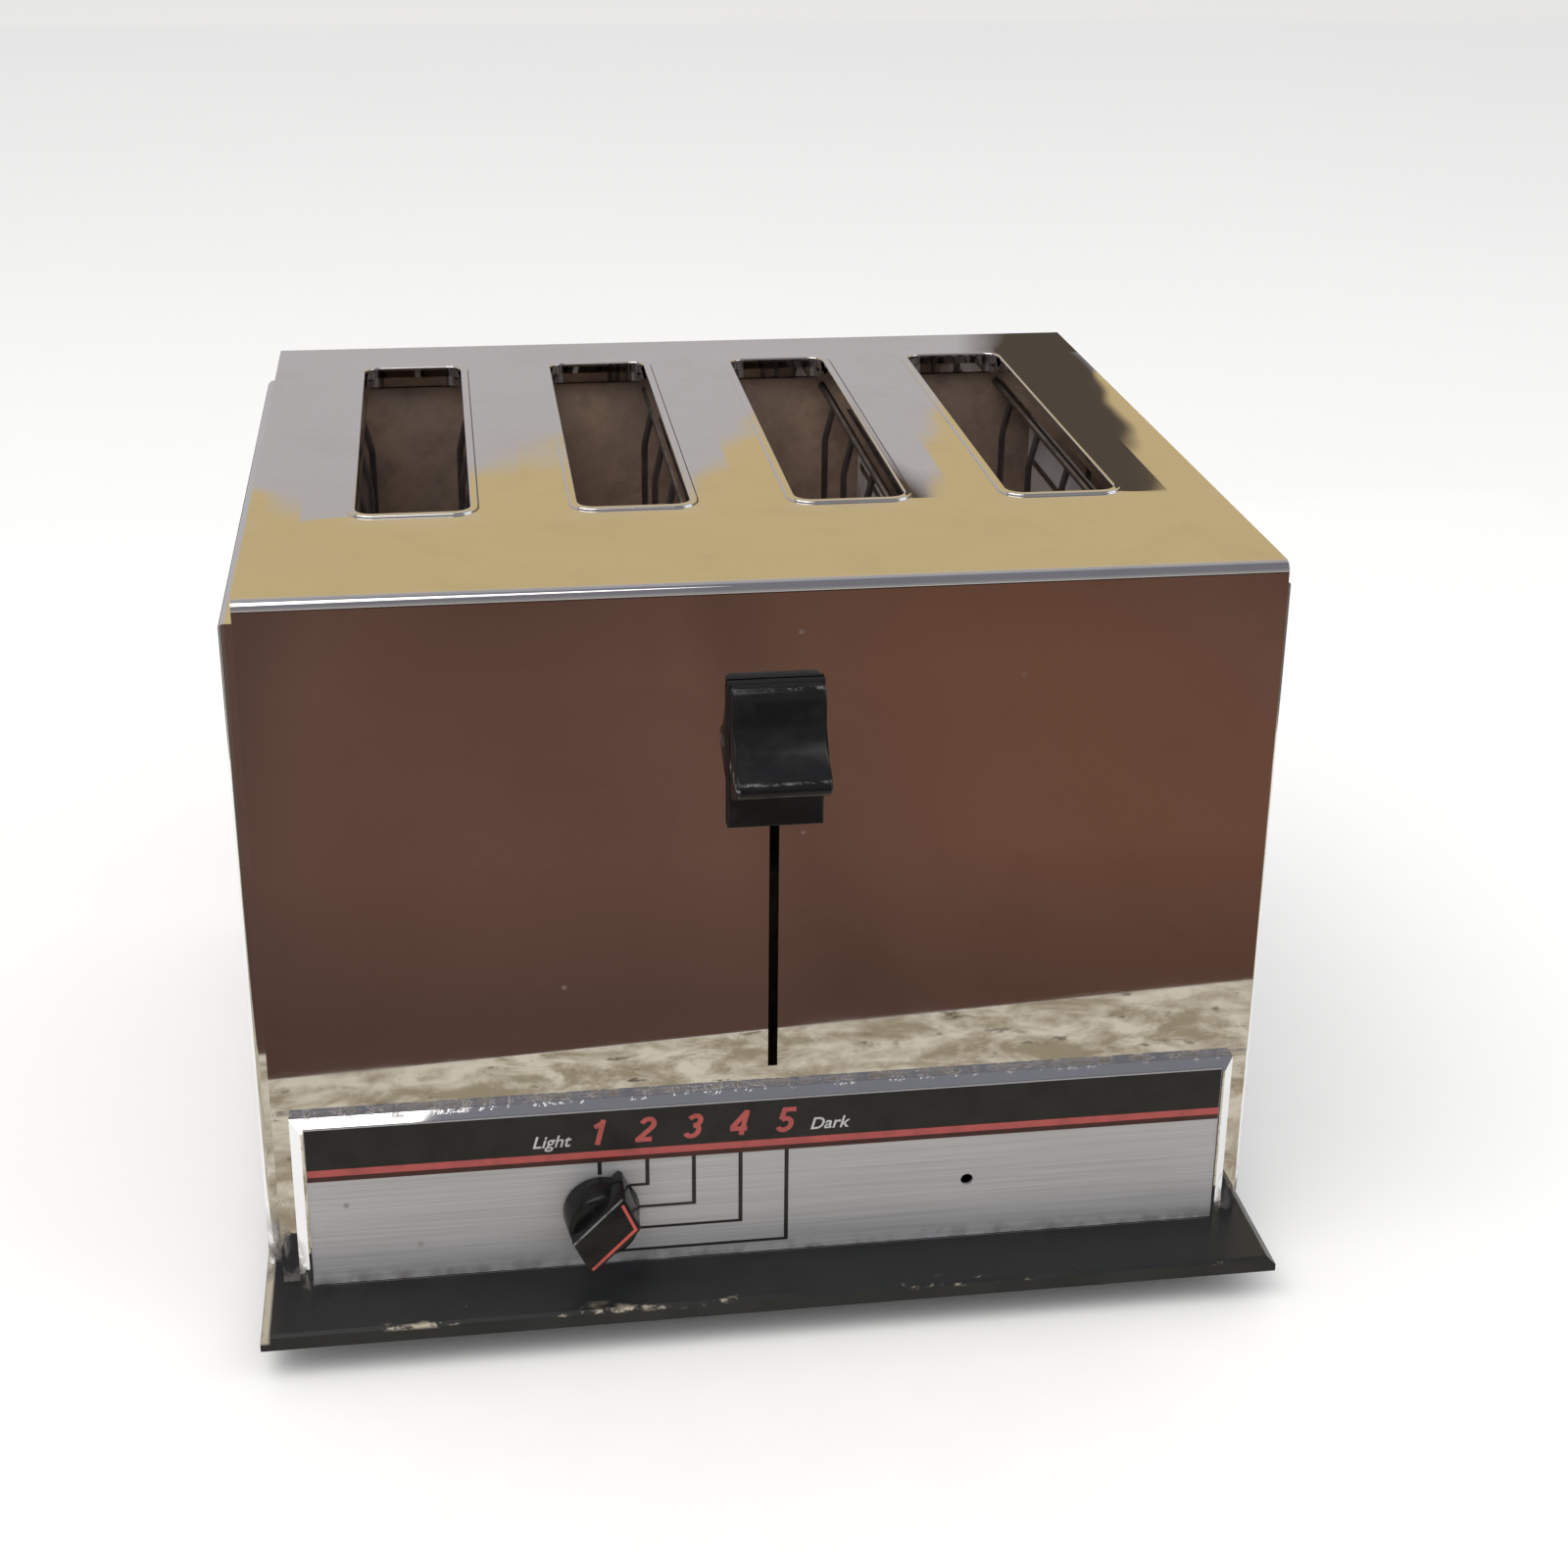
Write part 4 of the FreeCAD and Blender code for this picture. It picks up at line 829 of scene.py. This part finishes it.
        top = PLATE_TOP / MM - deck - self.edge_gap
        stripe = bar(self.stripe_foot, self.band_foot - self.join_gap)
        hairline = bar(self.line_foot, self.stripe_foot - self.join_gap)
        self.artwork("panel_band", black, bar(self.band_foot, top), self.ink_depth)
        self.artwork("panel_stripe", red, stripe, self.over_ink)
        self.artwork("panel_hairline", maroon, hairline, self.ink_depth)
        size = p.numeral_height / MM
        foot = deck + self.numeral_z - size / 2
        for i, x in enumerate(self.numeral_x):
            bm = bmesh.new()
            for order, run in enumerate(self.numeral_strokes(i + 1)):
                scale = size / self.box_height
                leant = [(u + self.lean * (v - self.box_height / 2), v) for u, v in run]
                line = [(x + u * scale, foot + v * scale) for u, v in leant]
                depth = self.ink_depth + 0.006 * order
                strip(bm, line, self.stroke * scale, on_panel(self.over_ink), depth)
            piece("numeral_" + str(i + 1), bm, red, "body")
        self.lettering("word_light", "Light", grey, p.word_height, *self.word_light)
        self.lettering("word_dark", "Dark", grey, p.word_height, *self.word_dark)
        for i, (x, z, end) in enumerate(self.leaders):
            bm = bmesh.new()
            half = self.upright_width / 2
            foot = deck + z - self.level_width / 2
            upright = ((x, deck + self.line_foot), (x, foot))
            strip(bm, upright, self.upright_width, on_panel(0.0), self.ink_depth)
            if end is not None:
                level = ((x - half, deck + z), (end, deck + z))
                strip(bm, level, self.level_width, on_panel(0.0), self.ink_depth)
            piece("leader_" + str(i + 1), bm, black, "body")
        return {"FINISHED"}


class TOASTER_OT_base(bpy.types.Operator):
    """Finish the base board, its feet and the cord bushing"""
    bl_idname = "toaster.base"
    bl_label = "Base and feet"

    def execute(self, context):
        s = context.scene.toaster
        coat(black_phenolic(s), "base_plate")
        feet = [n for n in NODES if n.startswith("foot_") and n != "foot_screws"]
        coat(foot_rubber(), "cord_bushing", *feet)
        return {"FINISHED"}


class TOASTER_OT_lever(bpy.types.Operator):
    """Build the moulded lever handle and finish its plate"""
    bl_idname = "toaster.lever"
    bl_label = "Lever"

    def outline(self):
        """The handle's side view, as (y, z) from its top back corner, in millimetres."""
        return (
            (0.0, 0.0), (-2.3, 0.0), (-3.2, -0.25), (-3.9, -0.9), (-4.2, -1.8), (-4.35, -3.5),
            (-4.4, -6.5), (-4.55, -8.6), (-4.95, -10.4), (-5.8, -12.0), (-7.2, -13.6), (-9.0, -15.0),
            (-11.2, -16.2), (-13.0, -17.1), (-14.1, -17.6), (-14.7, -18.3), (-14.8, -19.3),
            (-14.5, -20.3), (-13.7, -21.0), (-11.0, -22.4), (-7.5, -24.1), (-4.0, -25.5), (0.0, -26.5),
        )

    def execute(self, context):
        h = context.scene.toaster.handles
        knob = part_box("lever_knob")
        back = knob[1].y - 0.05 * MM
        top = knob[1].z
        half = knob[1].x
        body = frame["nodes"]["lever_knob"]["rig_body"]
        bm = bmesh.new()

        def place(u, v, w):
            return (w - half, back + u * MM, top + v * MM)

        prism(bm, self.outline(), place, 2 * half)
        rims = [e for e in bm.edges if abs(e.verts[0].co.x - e.verts[1].co.x) < 1e-9]
        round_edges(bm, rims, h.lever_round)
        plastic = black_plastic("lever_plastic", tuple(h.plastic_colour), lever_wear_and_highlight)
        piece("lever_handle", bm, plastic, body, 40.0, ("lever_knob",))
        coat(black_plastic("lever_plate_plastic", tuple(h.plastic_colour), gloss=0.4), "lever_plate")
        return {"FINISHED"}


class TOASTER_OT_dial(bpy.types.Operator):
    """Build the dial: a round skirt, a slanted grip and its pointer line"""
    bl_idname = "toaster.dial"
    bl_label = "Dial"

    skirt_radius = 9.0
    skirt_front_radius = 8.0
    skirt_depth = 7.9
    grip_front = 12.1
    grip = ((-6.2, -4.4), (9.9, -4.4), (10.3, -3.4), (7.4, 4.2), (6.4, 5.0), (-9.4, 5.0))
    grip_chamfer = 0.8
    grip_ridge = -4.4
    mark = ((9.0, -3.2), (6.3, 3.7), (-8.0, 3.7))
    mark_depth = 0.06

    def execute(self, context):
        h = context.scene.toaster.handles
        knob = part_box("dial_knob")
        back = knob[1].y
        centre = (middle("dial_shaft").x, middle("dial_shaft").z)
        angle = h.grip_angle

        def place(u, v, w):
            x = u * math.cos(angle) + v * math.sin(angle)
            z = u * math.sin(angle) - v * math.cos(angle)
            return (centre[0] + x * MM, back - w * MM, centre[1] + z * MM)

        # Painted highlight: a pale line along the front edge of the grip's upper side, broken by noise.
        def wear_and_highlight(f):
            y = f.axis("Y")
            rim = f.near(y, back - self.grip_front * MM, 0.7 * MM)
            patch = f.range(f.noise(330, 5, 0.7), 0.36, 0.50)
            x = f.math("SUBTRACT", f.axis("X"), centre[0])
            z = f.math("SUBTRACT", f.axis("Z"), centre[1])
            across = f.math("SUBTRACT", f.both(x, math.sin(angle)), f.both(z, math.cos(angle)))
            ridge = f.near(across, self.grip_ridge * MM, 0.6 * MM)
            return f.both(rim, ridge, patch)

        plastic = black_plastic("dial_plastic", tuple(h.plastic_colour), wear_and_highlight, (0.50, 0.50, 0.49), 0.22)
        bm = bmesh.new()
        r = self.skirt_radius * MM
        nose = self.skirt_front_radius * MM
        front = back - self.skirt_depth * MM
        profile = (
            (r - 0.4 * MM, back), (r, back - 0.4 * MM), (nose + 0.1 * MM, front + 0.7 * MM),
            (nose - 0.15 * MM, front + 0.2 * MM), (nose - 0.6 * MM, front),
            (nose - 1.6 * MM, front - 0.05 * MM),
        )
        lathe(bm, profile, centre)
        piece("dial_skirt", bm, plastic, "dial", 30.0, ("dial_knob",))
        bm = bmesh.new()
        upper = prism(bm, self.grip, place, self.grip_front)[1]
        rims = [e for e in bm.edges if all(v in upper for v in e.verts)]
        round_edges(bm, rims, self.grip_chamfer * MM, 2)
        piece("dial_grip", bm, plastic, "dial", 30.0)
        red = print_ink("dial_ink", (0.45, 0.06, 0.05))
        bm = bmesh.new()

        def on_grip(u, v, w):
            return place(u, v, self.grip_front + w)

        strip(bm, self.mark, h.mark_width / MM, on_grip, self.mark_depth)
        piece("dial_mark", bm, red, "dial")
        shaft = plain_metal("shaft_steel", (0.5, 0.5, 0.5), (0.25, 0.23, 0.2), 0.3, 60, 0.02 * MM)
        coat(shaft, "dial_shaft")
        return {"FINISHED"}


class TOASTER_OT_heaters(bpy.types.Operator):
    """Finish the heater cards, ribbons, guards and heat shields"""
    bl_idname = "toaster.heaters"
    bl_label = "Heaters and guards"

    def execute(self, context):
        ribbon = plain_metal("nichrome", (0.36, 0.32, 0.29), (0.14, 0.10, 0.09), 0.42, 55, 0.02 * MM)
        wire = plain_metal("guard_wire", (0.22, 0.19, 0.18), (0.09, 0.075, 0.07), 0.4, 48, 0.03 * MM)
        coat(mica(), *[n for n in NODES if n.startswith("element_card")])
        coat(ribbon, *[n for n in NODES if n.startswith("element_ribbon")])
        coat(wire, *[n for n in NODES if n.startswith("guard_wires")])
        coat(heat_steel(), "chassis_plate_front", "chassis_plate_rear", "heat_shield_left",
             "heat_shield_right", "crumb_door")
        return {"FINISHED"}


class TOASTER_OT_springs(bpy.types.Operator):
    """Wind the two lift springs, hooked at both ends, as fixed coils that do not stretch as the carriage goes
    down
    """
    bl_idname = "toaster.springs"
    bl_label = "Lift springs"

    hook_steps = 12
    turn_steps = 16
    wire_sides = 7
    hook_width = 0.8

    def hook(self, centre, radius, foot, height):
        """Half a loop that bulges to the right, from its foot up."""
        path = []
        for i in range(self.hook_steps + 1):
            t = math.pi * (i / self.hook_steps - 0.5)
            x = centre.x + radius * self.hook_width * math.cos(t) / 2
            path.append(Vector((x, centre.y, foot + height * (1 + math.sin(t)) / 2)))
        return path

    def execute(self, context):
        g = context.scene.toaster.springs
        steel = plain_metal("spring_steel", (0.50, 0.50, 0.51), (0.28, 0.26, 0.25), 0.28, 70, 0.01 * MM)
        for side in ("left", "right"):
            node = "lift_spring_" + side
            lo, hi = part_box(node)
            centre = (lo + hi) / 2
            radius = g.outer_radius - g.wire_radius
            height = radius * 1.1
            foot = lo.z + height
            head = hi.z - height
            path = self.hook(centre, radius, lo.z + g.wire_radius, height)
            steps = g.turns * self.turn_steps
            for i in range(steps + 1):
                t = 2 * math.pi * i / self.turn_steps
                path.append(Vector((centre.x + radius * math.cos(t), centre.y + radius * math.sin(t),
                                    foot + (head - foot) * i / steps)))
            path += self.hook(centre, radius, head - g.wire_radius, height)
            bm = bmesh.new()
            tube(bm, path, g.wire_radius, self.wire_sides)
            made = piece(node + "_coil", bm, steel, None, 60.0, (node,))
            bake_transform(made)
        return {"FINISHED"}


class TOASTER_OT_mechanism(bpy.types.Operator):
    """Finish the carriage, guide rods, hold-down magnet, switch and rear fittings"""
    bl_idname = "toaster.mechanism"
    bl_label = "Mechanism"

    def execute(self, context):
        by_slot = {
            "zinc_steel": zinc_steel(),
            "brass": plain_metal("brass", (0.66, 0.49, 0.22), (0.36, 0.24, 0.10), 0.3, 60, 0.01 * MM),
            "coil_winding": coil_winding(),
            "insulator": insulator(),
        }
        for part in frame["record"]["subparts"]:
            slot = part["material_slot"]
            if slot in by_slot and part["node"] != "dial_shaft":
                coat(by_slot[slot], part["node"])
        return {"FINISHED"}


def flat_sheet(name, corners, height, material):
    """A level stage piece with the corners given, at a height."""
    bm = bmesh.new()
    bm.faces.new([bm.verts.new((x, y, height)) for x, y in corners])
    mesh = bpy.data.meshes.new(name)
    bm.to_mesh(mesh)
    bm.free()
    mesh.materials.append(material)
    sheet = bpy.data.objects.new(name, mesh)
    bpy.context.scene.collection.objects.link(sheet)
    return sheet


def flat_card(name, corners, height, material):
    """A card just over the floor that only mirrors see."""
    card = flat_sheet(name, corners, height, material)
    for ray in ("camera", "diffuse", "shadow", "transmission"):
        setattr(card, "visible_" + ray, False)


def glow(f, colour):
    """Makes a finish shine by itself instead of being lit."""
    f.set("Base Color", (0.0, 0.0, 0.0, 1.0))
    f.set("Roughness", 1.0)
    f.set("Specular IOR Level", 0.0)
    f.set("Emission Color", colour)
    f.set("Emission Strength", 1.0)
    return f.material


class TOASTER_OT_stage(bpy.types.Operator):
    """Make the floor, the soft lights, the cards the chrome mirrors and the camera"""
    bl_idname = "toaster.stage"
    bl_label = "Stage"

    floor_half = 6.0
    card_height = 0.6 * MM
    stone_height = 0.5 * MM
    stone_edge = ((-1.0, -0.145), (1.0, -0.299))
    stone_near = BASE_FRONT - 4 * MM
    room_near = ((-1.6, -2.4), (1.6, -2.4))
    ring = (0.45, 0.5, 2.4)
    view_angles = (-8.755, 21.865, 0.749)
    sensor_width = 36.0
    shift = (-0.015, -0.0623)
    lamp_aim = (0, 0, 0.08)
    key_size, key_place, key_colour = (1.4, 1.0), (-0.6, -0.5, 1.5), (1.0, 0.97, 0.92)
    fill_size, fill_place, fill_colour = (1.0, 1.0), (1.3, -0.6, 0.9), (0.93, 0.96, 1.0)

    def floor(self, s):
        f = Finish("floor_paper", tuple(s.floor_colour), 0.0, 0.7)
        fibre = f.noise(45, 4, 0.6)
        a = tuple(s.floor_colour)
        f.set("Base Color", f.mix(fibre, a, tuple(v * 0.985 for v in a)))
        half = self.floor_half
        corners = ((-half, -half), (half, -half), (half, half), (-half, half))
        flat_sheet("floor", corners, 0.0, f.material)

    def cards(self):
        """Glowing cards, seen only in the chrome, that paint the reflections of a dark wooden room and a pale
        stone worktop.
        """
        f = Finish("dark_room", (0, 0, 0))
        x, y = f.axis("X"), f.axis("Y")
        grain = f.noise(5.0, 2, 0.5, (1, 0.35, 1))
        shade = f.mix(f.range(grain, 0.3, 0.7), (0.115, 0.062, 0.046), (0.155, 0.082, 0.060))
        shade = f.mix(f.range(x, -0.10, -0.30), shade, (0.115, 0.085, 0.072))
        shade = f.mix(f.both(f.near(x, 0.16, 0.16), 0.6), shade, (0.185, 0.082, 0.048))
        for place, width, dark in ((-0.16, 0.04, 0.3), (0.045, 0.03, 0.22), (0.33, 0.05, 0.3)):
            shade = f.mix(f.both(f.near(x, place, width), dark), shade, (0.05, 0.028, 0.020))
        shade = f.mix(f.range(y, -0.24, -0.34, 0.55, 0.0), shade, (0.060, 0.038, 0.030))
        shade = f.mix(f.range(y, -0.50, -0.95), shade, (0.058, 0.034, 0.026))
        room = glow(f, shade)
        left, right = self.stone_edge
        flat_card("dark_room_card", (left, *self.room_near, right), self.card_height, room)
        f = Finish("worktop", (0, 0, 0))
        mottle = f.noise(48, 7, 0.75, (1, 1.6, 1), twist=0.5)
        shade = f.mix(f.range(mottle, 0.42, 0.58), (0.34, 0.29, 0.20), (0.70, 0.64, 0.53))
        fleck = f.range(f.noise(110, 6, 0.75, (0.6, 1.6, 1)), 0.60, 0.64)
        shade = f.mix(fleck, shade, (0.10, 0.075, 0.055))
        stone = glow(f, shade)
        front = ((left[0], self.stone_near), left, right, (right[0], self.stone_near))
        flat_card("worktop_card", front, self.stone_height, stone)
        f = Finish("dark_ring", (0, 0, 0))
        cloud = f.noise(3.0, 2, 0.5)
        ring = glow(f, f.mix(f.range(cloud, 0.35, 0.65), (0.085, 0.075, 0.070), (0.15, 0.135, 0.125)))
        near_x, near_y, far = self.ring
        sides = (
            ("ring_left_card", ((-far, -0.1), (-near_x, -0.1), (-near_x, far), (-far, far))),
            ("ring_right_card", ((near_x, -0.25), (far, -0.25), (far, far), (near_x, far))),
            ("ring_back_card", ((-near_x, near_y), (near_x, near_y), (near_x, far), (-near_x, far))),
        )
        for name, corners in sides:
            flat_card(name, corners, self.card_height, ring)

    def lamp(self, name, power, size, place, colour):
        data = bpy.data.lights.new(name, "AREA")
        data.energy = power
        data.shape = "RECTANGLE"
        data.size, data.size_y = size
        data.color = colour
        made = bpy.data.objects.new(name, data)
        bpy.context.scene.collection.objects.link(made)
        made.location = place
        aim = Vector(self.lamp_aim) - Vector(place)
        made.rotation_euler = aim.to_track_quat("-Z", "Y").to_euler()
        made.visible_camera = False

    def world(self):
        """Pale to the eye; to a mirror, a warm ceiling over a cool grey wall."""
        world = bpy.data.worlds.new("room")
        world.use_nodes = True
        bpy.context.scene.world = world
        tree = world.node_tree
        f = Finish.__new__(Finish)
        f.tree = tree
        f.place = f.node("ShaderNodeTexCoord").outputs["Generated"]
        z, x, y = f.axis("Z"), f.axis("X"), f.axis("Y")
        lilac = (0.50, 0.475, 0.485)
        gold = (0.60, 0.47, 0.25)
        dark = (0.085, 0.068, 0.052)
        cool = f.mix(f.range(x, 0.205, 0.225), lilac, dark)
        edge = f.math("ADD", 0.283, f.both(f.range(x, 0.0, -0.12), 0.05))
        over = f.range(f.math("SUBTRACT", z, edge), -0.004, 0.004)
        ahead = f.mix(over, cool, gold)
        ahead = f.mix(f.range(z, 0.34, 0.5), ahead, (0.62, 0.52, 0.36))
        high_part = f.mix(f.range(z, 0.5, 0.9), ahead, (0.40, 0.40, 0.44))
        sides = f.mix(f.range(z, 0.0, 0.5), (0.36, 0.34, 0.33), (0.20, 0.20, 0.23))
        room = f.mix(f.range(y, 0.0, 0.2), sides, high_part)
        rays = f.node("ShaderNodeLightPath").outputs
        shade = f.mix(rays["Is Camera Ray"], room, (0.93, 0.93, 0.93))
        shade = f.mix(rays["Is Diffuse Ray"], shade, (1.0, 1.0, 1.0))
        f.plug(tree.nodes["Background"].inputs["Color"], shade)
        tree.nodes["Background"].inputs["Strength"].default_value = 1.0

    def camera(self, s):
        azimuth, elevation, roll = (math.radians(v) for v in self.view_angles)
        level = math.cos(elevation)
        back = Vector((math.sin(azimuth) * level, -math.cos(azimuth) * level, math.sin(elevation)))
        right = Vector((0, 0, 1)).cross(back).normalized()
        up = back.cross(right)
        turned = math.cos(roll) * right + math.sin(roll) * up
        rise = -math.sin(roll) * right + math.cos(roll) * up
        data = bpy.data.cameras.new("camera")
        data.lens = s.lens
        data.sensor_width = self.sensor_width
        data.shift_x, data.shift_y = self.shift
        data.clip_start = 0.01
        made = bpy.data.objects.new("camera", data)
        bpy.context.scene.collection.objects.link(made)
        made.matrix_world = Matrix((
            (turned.x, rise.x, back.x, s.camera_place[0]),
            (turned.y, rise.y, back.y, s.camera_place[1]),
            (turned.z, rise.z, back.z, s.camera_place[2]),
            (0, 0, 0, 1)))
        bpy.context.scene.camera = made

    def execute(self, context):
        s = context.scene.toaster.studio
        self.floor(s)
        self.cards()
        self.world()
        self.lamp("key_light", s.key_power, self.key_size, self.key_place, self.key_colour)
        self.lamp("fill_light", s.fill_power, self.fill_size, self.fill_place, self.fill_colour)
        self.camera(s)
        view = context.scene.view_settings
        view.view_transform = "Standard"
        view.look = "None"
        return {"FINISHED"}


class TOASTER_PT_sidebar(bpy.types.Panel):
    """Lists the toaster's operators"""
    bl_idname = "TOASTER_PT_sidebar"
    bl_label = "Toaster"
    bl_space_type = "VIEW_3D"
    bl_region_type = "UI"
    bl_category = "Toaster"

    def draw(self, context):
        for operator in OPERATORS:
            self.layout.operator(operator.bl_idname)


OPERATORS = (
    TOASTER_OT_stage, TOASTER_OT_casing, TOASTER_OT_panel, TOASTER_OT_base, TOASTER_OT_lever,
    TOASTER_OT_dial, TOASTER_OT_heaters, TOASTER_OT_springs, TOASTER_OT_mechanism,
)
CLASSES = (
    CasingSettings, PanelSettings, BaseSettings, HandleSettings, SpringSettings, StudioSettings,
    ToasterSettings, *OPERATORS, TOASTER_PT_sidebar,
)


def register():
    for made in CLASSES:
        bpy.utils.register_class(made)
    bpy.types.Scene.toaster = bpy.props.PointerProperty(type=ToasterSettings)


def unregister():
    del bpy.types.Scene.toaster
    for made in reversed(CLASSES):
        bpy.utils.unregister_class(made)


def main():
    register()
    for operator in OPERATORS:
        getattr(bpy.ops.toaster, operator.bl_idname.split(".")[1])()


if __name__ == "__main__":
    main()
